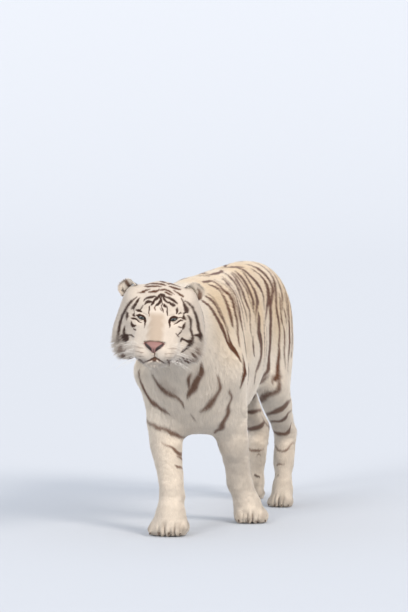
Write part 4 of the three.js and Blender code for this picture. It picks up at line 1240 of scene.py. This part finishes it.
def tuft_corners(rng, roots, normals, kind, lie):
    """The corners of every tuft, tuft by tuft, and the run from each root to its tip."""
    count = len(roots)
    length, width, lift, flow = lie(roots, normals)
    lean = rng.normal(0, 0.16, count)[:, None]
    way = unit(flow + unit(np.cross(normals, flow)) * lean)
    across = unit(np.cross(normals, way))
    long = (length * rng.uniform(0.75, 1.2, count) * MM)[:, None]
    broad = (width * rng.uniform(0.8, 1.25, count) * MM)[:, None]
    angle = np.radians(lift * rng.uniform(0.6, 1.4, count))[:, None]
    along_skin, off_skin = way * np.cos(angle), normals * np.sin(angle)
    run = (along_skin + off_skin) * long
    half, thick = broad / 2, broad * 0.42
    base = roots - normals * ROOT_DEPTH
    rings = [base + across * half, base - across * half, base + normals * thick]
    if kind is BENT:
        knee = base + (along_skin * 0.5 + off_skin * 0.72) * long
        rings += [knee + across * half * 0.8, knee - across * half * 0.8, knee + normals * thick * 0.8]
    corners = np.stack([*rings, base + run], 1)
    corners[..., 2] = np.maximum(corners[..., 2], FLOOR_GAP)
    return corners, run


def mesh_of(name, corners, faces):
    """One mesh of many like shapes, each with its own corners and all with the same faces."""
    count, each = corners.shape[:2]
    faces = (np.arange(count)[:, None, None] * each + np.array(faces)).reshape(-1, 3)
    mesh = bpy.data.meshes.new(name)
    mesh.vertices.add(count * each)
    mesh.vertices.foreach_set("co", corners.reshape(-1).astype(np.float32))
    mesh.loops.add(len(faces) * 3)
    mesh.loops.foreach_set("vertex_index", faces.ravel().astype(np.int32))
    mesh.polygons.add(len(faces))
    mesh.polygons.foreach_set("loop_start", np.arange(0, len(faces) * 3, 3, dtype=np.int32))
    mesh.polygons.foreach_set("use_smooth", np.ones(len(faces), bool))
    mesh.update(calc_edges=True)
    return mesh


def tuft_mesh(name, rng, roots, normals, uv, kind, lie):
    """One tuft per root, with its marks, its soft shading and its patch of the map."""
    corners, run = tuft_corners(rng, roots, normals, kind, lie)
    count, each = corners.shape[:2]
    mesh = mesh_of(name, corners, kind["faces"])
    looks = [markings(roots + run * part, normals) for part in kind["looks"]]
    if lie is ear_coat:
        looks = [ear_marks(roots, normals, 1, *look) for look in looks]
    marks = (np.stack([looks[row][value] for row in kind["takes"]], 1).ravel() for value in range(3))
    clump = waver(roots / MM * [1, 0.6, 0.45], 26, 61) * 0.12
    tone = np.repeat(np.clip(rng.normal(0.5, 0.2, count) + clump, 0, 1), each)
    mark_mesh(mesh, *marks, depth=np.tile(kind["depths"], count), tone=tone)
    # shaded mostly as the skin below, so that the tufts read as one coat
    outward = unit(corners - corners.mean(1, keepdims=True))
    soft = unit(normals[:, None, :] * 0.9 + outward * 0.3).reshape(-1, 3)
    layer = mesh.attributes.new("custom_normal", "FLOAT_VECTOR", "POINT")
    layer.data.foreach_set("vector", soft.astype(np.float32).ravel())
    patch = np.array([[0.0, 0.0], [1.0, 0.0], [0.5, 1.0]]) * PATCH - PATCH / 2
    places = np.repeat(uv, len(kind["faces"]) * 3, axis=0).reshape(-1, 3, 2) + patch
    mesh.uv_layers.new(name="OFBake").data.foreach_set("uv", places.astype(np.float32).ravel())
    return mesh


def unwrapped_ears(h):
    """Each ear in its own quarter of the map, its inside below and its back above."""
    out, up = np.abs(h[:, 0]) - EAR_MIDDLE[0], h[:, 2] - EAR_MIDDLE[1]
    behind = (h[:, 1] < -104 + 0.2 * out) * 1.0
    return np.stack([0.5 + np.sign(h[:, 0]) * 0.25 + out / 250, 0.25 + behind * 0.5 + up / 250], 1)


def unwrapped_head(h):
    """The head spread out from the nose, round its own middle."""
    way = unit(h - np.array([0, -70, -30]))
    turn = np.arccos(np.clip(way[:, 1], -1, 1)) / math.pi / 2
    return unit(way[:, [0, 2]]) * turn[:, None] + 0.5


def unwrapped_trunk(q):
    """Round the trunk's axis one way and along the body the other."""
    angle = np.arctan2(q[:, 0], q[:, 2] - TRUNK_AXIS) / math.pi / 2 + 0.5
    return np.stack([angle, (q[:, 1] + 500) / 1700], 1)


def unwrapped_limb(q, line):
    """Round a limb or the tail one way and along it the other."""
    _, place, _ = along(q, line)
    t = np.array(line, float)
    near = np.linalg.norm(q[:, None, :] - t[None], axis=2).argmin(1)
    off = q - t[near]
    angle = np.arctan2(off[:, 0], off[:, 1]) / math.pi / 2 + 0.5
    total = np.linalg.norm(np.diff(t, axis=0), axis=1).sum()
    return np.stack([angle, np.clip(place / total * 0.9 + 0.05, 0, 1)], 1)


def unwrapped(area, points):
    """The skin unrolled round an area's own axis, between 0 and 1 both ways."""
    if area == "ears":
        return unwrapped_ears(head_mm(points))
    if area == "head":
        return unwrapped_head(head_mm(points))
    if area == "trunk":
        return unwrapped_trunk(body_mm(points))
    return unwrapped_limb(body_mm(points), TAIL_LINE if area == "tail" else LIMBS[area])


# The coat's pieces, each with the area that it is unrolled with.
PIECES = {
    "coat_face": "head",
    "coat_crown": "head",
    "coat_ears": "ears",
    "coat_ruff": "head",
    "coat_neck": "trunk",
    "coat_left_side": "trunk",
    "coat_right_side": "trunk",
    "coat_rump": "trunk",
    "coat_foreleg_left": "fore_left",
    "coat_foreleg_right": "fore_right",
    "coat_hindleg_left": "hind_left",
    "coat_hindleg_right": "hind_right",
    "coat_tail": "tail",
}


def piece_of(centres):
    """The name of the coat piece that each point of the skin belongs to."""
    q, h = body_mm(centres), head_mm(centres)
    x, y, z = q.T
    tail_far, _, _ = along(q, TAIL_LINE)
    names = np.where(x > 0, "coat_left_side", "coat_right_side").astype(object)
    names[y > 640] = "coat_rump"
    names[y < -20] = "coat_neck"
    fore = y < LEGS_APART
    low = (z < np.where(fore, 400, 470)) & ~((y > 330) & (y < 600))
    for limb in LIMBS:
        kind, side = limb.split("_")
        names[low & (fore == (kind == "fore")) & (np.sign(x) == SIDES[side])] = f"coat_{kind}leg_{side}"
    names[(y > 1000) & (tail_far < 75)] = "coat_tail"
    head = of_head(centres, NECK_AT + 4)
    names[head] = "coat_ruff"
    names[head & (h[:, 1] > -60)] = "coat_face"
    names[head & (h[:, 2] > 26) & (np.abs(h[:, 0]) < 100)] = "coat_crown"
    return names


def make_coat(skin):
    mesh = skin.data
    co, normals, tris = points_of(mesh), normals_of(mesh), triangles_of(mesh)
    names = piece_of(co[tris].mean(1))
    ear = np.empty(len(co), np.float32)
    mesh.attributes["ear"].data.foreach_get("value", ear)
    names[ear[tris].min(1) > 0.5] = "coat_ears"
    material = hair_material()
    layers = sizes().thickness * 1
    for number, (name, area) in enumerate(PIECES.items()):
        rng = np.random.default_rng(100 + number)
        lie = ear_coat if area == "ears" else coat
        kind = BENT if area == "tail" else STRAIGHT
        roots, facing = rooted(rng, co, normals, tris[names == name], layers, lie)
        data = tuft_mesh(name, rng, roots, facing, unwrapped(area, roots), kind, lie)
        data.materials.append(material)
        piece = bpy.data.objects.new(name, data)
        bpy.context.scene.collection.objects.link(piece)
        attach(piece, BODY)


# ------------------------------------------------------------------ eyes, nose leather, claws and whiskers
IRIS, PUPIL, RIM = 11.5, 4.2, 2.6  # radii of the iris and the pupil, and width of the iris's dark rim
PUPIL_BLACK, RIM_BLACK = (0.004, 0.004, 0.005, 1), (0.012, 0.010, 0.010, 1)
STREAKS_PER_M = 900.0  # streaks of the iris in a metre, one each 1.1 mm
CORNEA = 1.4  # how far the clear front of the eye stands out
NOSTRIL = [[(8, -9, 4), (13, -3, 10), (21, 4, 10), (29, 10, 7), (37, 15, 3)]]


def ball(name, segments, rings):
    """A unit sphere round the origin."""
    bpy.ops.object.select_all(action="DESELECT")
    bpy.ops.mesh.primitive_uv_sphere_add(segments=segments, ring_count=rings, radius=1, location=(0, 0, 0))
    bpy.ops.object.shade_smooth()
    piece = bpy.context.view_layer.objects.active
    piece.name = piece.data.name = name
    return piece


def eye_material():
    # Wet eyeball: pale blue-grey iris with a dark rim round a small round pupil, under a clear glossy cornea.
    material, tree, shader = blank_material("tiger_eye_wet_cornea")
    c = colours()
    away = attribute(tree, "away")
    streak = add_node(tree, "ShaderNodeTexNoise", Scale=STREAKS_PER_M, Detail=2.0).outputs[0]
    iris = mixed(tree, ranged(tree, streak, 0.35, 0.65, 0, 0.45), rgba(c.iris), rgba(c.black))
    pupil_edge = ranged(tree, away, PUPIL - 0.4, PUPIL + 0.4, 0, 1)
    inner = mixed(tree, pupil_edge, PUPIL_BLACK, iris)
    rim = mixed(tree, ranged(tree, away, IRIS - RIM, IRIS, 0, 1), inner, RIM_BLACK)
    tree.links.new(rim, shader.inputs["Base Color"])
    shader.inputs["Roughness"].default_value = 0.12
    shader.inputs["Coat Weight"].default_value = 0.5
    shader.inputs["Coat Roughness"].default_value = 0.03
    return material


def make_eyes():
    material = eye_material()
    gaze = unit(np.array([0.0, 1.0, -0.02]))
    for side, sign in SIDES.items():
        piece = ball(f"eyeball_{side}", 40, 28)
        mesh = piece.data
        p = points_of(mesh)[:, [0, 2, 1]] * [-1, 1, 1] * EYE_RADIUS
        along_gaze = p @ gaze
        away = np.where(along_gaze > 0, np.linalg.norm(p - along_gaze[:, None] * gaze, axis=1), EYE_RADIUS)
        p = p + gaze * (CORNEA * (1 - np.clip(away / IRIS, 0, 1) ** 2))[:, None]
        move_points(mesh, from_head(p + [sign * EYE_SPACING, -EYE_DEPTH, 0]))
        faced_outwards(piece)
        store(mesh, "away", away)
        mesh.materials.append(material)
        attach(piece, BODY)
        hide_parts(f"eye_{side}")


PEBBLES_PER_M = 650.0  # pebbles of the nose leather in a metre, one each 1.5 mm


def leather_material():
    # Nose leather: bare pink-brown skin, pebbled about 1.5 mm apart, slightly damp, with painted shade
    # darkening the nostrils and the cleft.
    material, tree, shader = blank_material("tiger_nose_leather_damp")
    c = colours()
    pebble = add_node(tree, "ShaderNodeTexVoronoi", Scale=PEBBLES_PER_M)
    pink = mixed(tree, ranged(tree, pebble.outputs[0], 0.1, 0.7, 0, 0.3), rgba(c.leather), rgba(c.brown))
    # painted shade in the nostrils and down the cleft
    dark = mixed(tree, attribute(tree, "dark"), pink, rgba(c.black))
    tree.links.new(dark, shader.inputs["Base Color"])
    bump = add_node(tree, "ShaderNodeBump", Height=pebble.outputs[0], Strength=0.35, Distance=0.6 * MM)
    tree.links.new(bump.outputs[0], shader.inputs["Normal"])
    shader.inputs["Roughness"].default_value = 0.42
    return material


def make_nose():
    """A pad as wide at each height as NOSE_WIDTH says, with nostrils and a cleft down its middle."""
    piece = ball("nose_leather", 72, 48)
    mesh = piece.data
    p = points_of(mesh)
    front = p[:, 1] < 0
    ring = np.maximum(np.hypot(p[:, 0], p[:, 1]), 0.12)
    high = p[:, 2] * NOSE_SIZE[2]
    side = p[:, 0] / ring * np.interp(high, *zip(*NOSE_WIDTH))
    bulge = 31.5 * np.sqrt(np.maximum(1.03 - p[:, 2] ** 2 - (side / 40) ** 2, 0.02))
    forward = np.where(front, bulge, 2.0 + 6 * (1 - p[:, 1]))
    hole = brushed(np.stack([np.abs(side), high], 1), NOSTRIL, 5) * front
    cleft = np.exp(-((side / 1.6) ** 2)) * rise(high, 4, -8) * front
    forward = forward - 2.5 * hole - 1.6 * cleft
    move_points(mesh, from_head(NOSE_AT + np.stack([-side, forward, high], 1)))
    faced_outwards(piece)
    # painted shade: dark in the nostrils and, less, down the cleft
    store(mesh, "dark", np.clip(1.25 * hole + 0.55 * cleft, 0, 1))
    mesh.materials.append(leather_material())
    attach(piece, BODY)
    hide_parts("nose")


def make_claws():
    # Claw horn: grown in sheaths and worn smooth, grey-brown, with a dull polish.
    material, _, shader = blank_material("tiger_claw_horn")
    shader.inputs["Base Color"].default_value = rgba(colours().horn)
    shader.inputs["Roughness"].default_value = 0.38
    for name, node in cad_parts.items():
        if name.startswith("claw_"):
            node.data.materials.clear()
            node.data.materials.append(material)


def whisker_material():
    # Whiskers: stiff white keratin bristles, smoother and glossier than the hair of the coat.
    material, _, shader = blank_material("tiger_whisker_bristle")
    shader.inputs["Base Color"].default_value = rgba(colours().white)
    shader.inputs["Roughness"].default_value = 0.35
    return material


WHISKER_ROWS_UP = (-90, -101, -112, -122)  # height of each row of whiskers on the lip pads
WHISKERS_IN_ROW = 5
WHISKER_SIDES, WHISKER_RINGS = 5, 9
WHISKER_RADIUS = 0.55


def whisker_corners(start, way, droop, long):
    """Corners of a tapering tube, ring by ring, then its tip and its root."""
    corners = []
    for ring in range(WHISKER_RINGS):
        t = ring / WHISKER_RINGS
        centre = start + (way * t + droop * t * t) * long
        radius = WHISKER_RADIUS * (1 - 0.8 * t)
        for turn in np.arange(WHISKER_SIDES) * 2 * math.pi / WHISKER_SIDES:
            corners.append(centre + np.array([0, math.cos(turn), math.sin(turn)]) * radius)
    return [*corners, start + (way + droop) * long, start]


def whisker_faces():
    """Faces of one whisker: its sides, then its pointed tip and its closed root."""
    last = (WHISKER_RINGS - 1) * WHISKER_SIDES
    tip, root = last + WHISKER_SIDES, last + WHISKER_SIDES + 1
    faces = []
    for a in range(WHISKER_SIDES):
        b = (a + 1) % WHISKER_SIDES
        for ring in range(0, last, WHISKER_SIDES):
            faces.append((a + ring, b + ring, b + ring + WHISKER_SIDES, a + ring + WHISKER_SIDES))
        faces += [(a + last, b + last, tip), (root, b, a)]
    return faces


def make_whiskers(skin):
    """Thin tapering tubes from the lip pads, swept out, back and a little down."""
    h = head_mm(points_of(skin.data))
    rng = np.random.default_rng(7)
    corners, faces = [], []
    for sign in SIDES.values():
        for row, up in enumerate(WHISKER_ROWS_UP):
            for place in range(WHISKERS_IN_ROW):
                target = np.array([sign * (50 - row), 100 - 12 * place - 4 * row, up])
                start = h[np.linalg.norm(h - target, axis=1).argmin()] - [sign * 1.5, 0, 0]
                long = rng.uniform(70, 125) * (0.75 + 0.09 * place)
                way = np.array([sign, 0.05 - 0.14 * place + rng.normal(0, 0.06), -0.12 - 0.07 * row])
                droop = np.array([-sign * 0.10, -0.34, -0.30 + rng.normal(0, 0.06)])
                faces += [[corner + len(corners) for corner in face] for face in whisker_faces()]
                corners += whisker_corners(start, way, droop, long)
    mesh = bpy.data.meshes.new("whiskers")
    mesh.from_pydata([tuple(v) for v in from_head(np.array(corners))], [], faces)
    piece = bpy.data.objects.new("whiskers", mesh)
    bpy.context.scene.collection.objects.link(piece)
    faced_outwards(piece)
    bpy.ops.object.shade_smooth()
    mesh.materials.append(whisker_material())
    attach(piece, BODY)


# ------------------------------------------------------------------ stage
CAMERA_FAR, CAMERA_ASIDE, CAMERA_HIGH = 12243, 30, 1573  # from the body frame's origin
CAMERA_TURN, CAMERA_TILT = 16, 3.365  # to the animal's left, and down
CAMERA_LENS = 190.6
FLOOR_SIDE = 140  # metres
FLOOR_FLAT = 24  # metres from the middle to where the floor starts to rise into a bowl
FLOOR_BEND = 0.008
SKY, SKY_STRENGTH = (0.86, 0.89, 0.95, 1), 1.15
# Lights: how far turned and raised from straight ahead and how broad, in degrees, then strength and colour.
LIGHTS = {
    "key": ((60, 33), 20, 2.0, (1.0, 0.92, 0.83)),
    "fill": ((-14, 24), 20, 1.1, (1.0, 0.98, 0.96)),
}


def place_camera():
    camera = bpy.data.cameras.new("camera")
    camera.lens, camera.sensor_width, camera.clip_end = CAMERA_LENS, 36, 200
    rig = bpy.data.objects.new("camera", camera)
    rig.location = from_body(turned("Z", CAMERA_TURN) @ [CAMERA_ASIDE, -CAMERA_FAR, CAMERA_HIGH])
    rig.rotation_euler = (math.radians(90 - CAMERA_TILT), 0, math.radians(CAMERA_TURN))
    bpy.context.scene.collection.objects.link(rig)
    bpy.context.scene.camera = rig


def lay_floor():
    """A wide plain floor that rises far off into a bowl, so that it fills the view behind the animal."""
    bpy.ops.object.select_all(action="DESELECT")
    bpy.ops.mesh.primitive_grid_add(x_subdivisions=90, y_subdivisions=90, size=FLOOR_SIDE, location=(0, 0, 0))
    bpy.ops.object.shade_smooth()
    floor = bpy.context.view_layer.objects.active
    floor.name = "floor"
    bowl = points_of(floor.data)
    bowl[:, 2] = np.maximum(np.hypot(bowl[:, 0], bowl[:, 1]) - FLOOR_FLAT, 0) ** 2 * FLOOR_BEND
    move_points(floor.data, bowl)
    # Matt studio paint, rolled on: pale grey, with hardly any gloss.
    material, _, shader = blank_material("studio_floor_matt_paint")
    shader.inputs["Base Color"].default_value = rgba(colours().floor)
    shader.inputs["Roughness"].default_value = 0.9
    floor.data.materials.append(material)


def soft_light(name, way, spread, strength, colour):
    """A far, broad light."""
    light = bpy.data.lights.new(name, "SUN")
    light.angle, light.energy, light.color = math.radians(spread), strength, colour
    lamp = bpy.data.objects.new(name, light)
    lamp.rotation_euler = (math.radians(90 - way[1]), 0, math.radians(way[0]))
    bpy.context.scene.collection.objects.link(lamp)


def make_stage():
    scene = bpy.context.scene
    place_camera()
    lay_floor()
    for name, light in LIGHTS.items():
        soft_light(name, *light)
    world = bpy.data.worlds.new("studio")
    world.use_nodes = True
    sky = world.node_tree.nodes["Background"]
    sky.inputs["Color"].default_value = SKY
    sky.inputs["Strength"].default_value = SKY_STRENGTH
    scene.world = world
    scene.view_settings.view_transform = "Standard"
    scene.view_settings.look = "None"


# ------------------------------------------------------------------ operators
class TIGER_OT_stage(bpy.types.Operator):
    """Add the camera, the studio light and the floor"""

    bl_idname = "tiger.stage"
    bl_label = "Stage"

    def execute(self, context):
        make_stage()
        return {"FINISHED"}


class TIGER_OT_skin(bpy.types.Operator):
    """Model the skin over the flesh"""

    bl_idname = "tiger.skin"
    bl_label = "Skin"

    def execute(self, context):
        make_skin()
        return {"FINISHED"}


class TIGER_OT_coat(bpy.types.Operator):
    """Lay the tufts of the coat over the skin"""

    bl_idname = "tiger.coat"
    bl_label = "Coat"

    def execute(self, context):
        make_coat(bpy.data.objects["skin"])
        return {"FINISHED"}


class TIGER_OT_eyes(bpy.types.Operator):
    """Set the eyeballs in their lids"""

    bl_idname = "tiger.eyes"
    bl_label = "Eyes"

    def execute(self, context):
        make_eyes()
        return {"FINISHED"}


class TIGER_OT_nose(bpy.types.Operator):
    """Model the nose leather with its nostrils"""

    bl_idname = "tiger.nose"
    bl_label = "Nose leather"

    def execute(self, context):
        make_nose()
        return {"FINISHED"}


class TIGER_OT_claws(bpy.types.Operator):
    """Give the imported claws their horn"""

    bl_idname = "tiger.claws"
    bl_label = "Claws"

    def execute(self, context):
        make_claws()
        return {"FINISHED"}


class TIGER_OT_whiskers(bpy.types.Operator):
    """Set the whiskers in the lip pads"""

    bl_idname = "tiger.whiskers"
    bl_label = "Whiskers"

    def execute(self, context):
        make_whiskers(bpy.data.objects["skin"])
        return {"FINISHED"}


OPERATORS = [
    TIGER_OT_stage, TIGER_OT_skin, TIGER_OT_coat, TIGER_OT_eyes,
    TIGER_OT_nose, TIGER_OT_claws, TIGER_OT_whiskers,
]


class TIGER_PT_panel(bpy.types.Panel):
    """Lists the tiger's steps and settings in the 3D view's sidebar"""

    bl_idname = "TIGER_PT_panel"
    bl_label = "White Tiger"
    bl_space_type = "VIEW_3D"
    bl_region_type = "UI"
    bl_category = "White Tiger"

    def draw(self, context):
        for group in (context.scene.tiger_colours, context.scene.tiger_sizes):
            for name in group.__annotations__:
                self.layout.prop(group, name)
        for operator in OPERATORS:
            self.layout.operator(operator.bl_idname)


CLASSES = [TigerColours, TigerSizes, *OPERATORS, TIGER_PT_panel]


def register():
    for cls in CLASSES:
        bpy.utils.register_class(cls)
    bpy.types.Scene.tiger_colours = bpy.props.PointerProperty(type=TigerColours)
    bpy.types.Scene.tiger_sizes = bpy.props.PointerProperty(type=TigerSizes)


def unregister():
    del bpy.types.Scene.tiger_sizes
    del bpy.types.Scene.tiger_colours
    for cls in reversed(CLASSES):
        bpy.utils.unregister_class(cls)


def main():
    register()
    for operator in OPERATORS:
        group, name = operator.bl_idname.split(".")
        getattr(getattr(bpy.ops, group), name)()


if __name__ == "__main__":
    main()
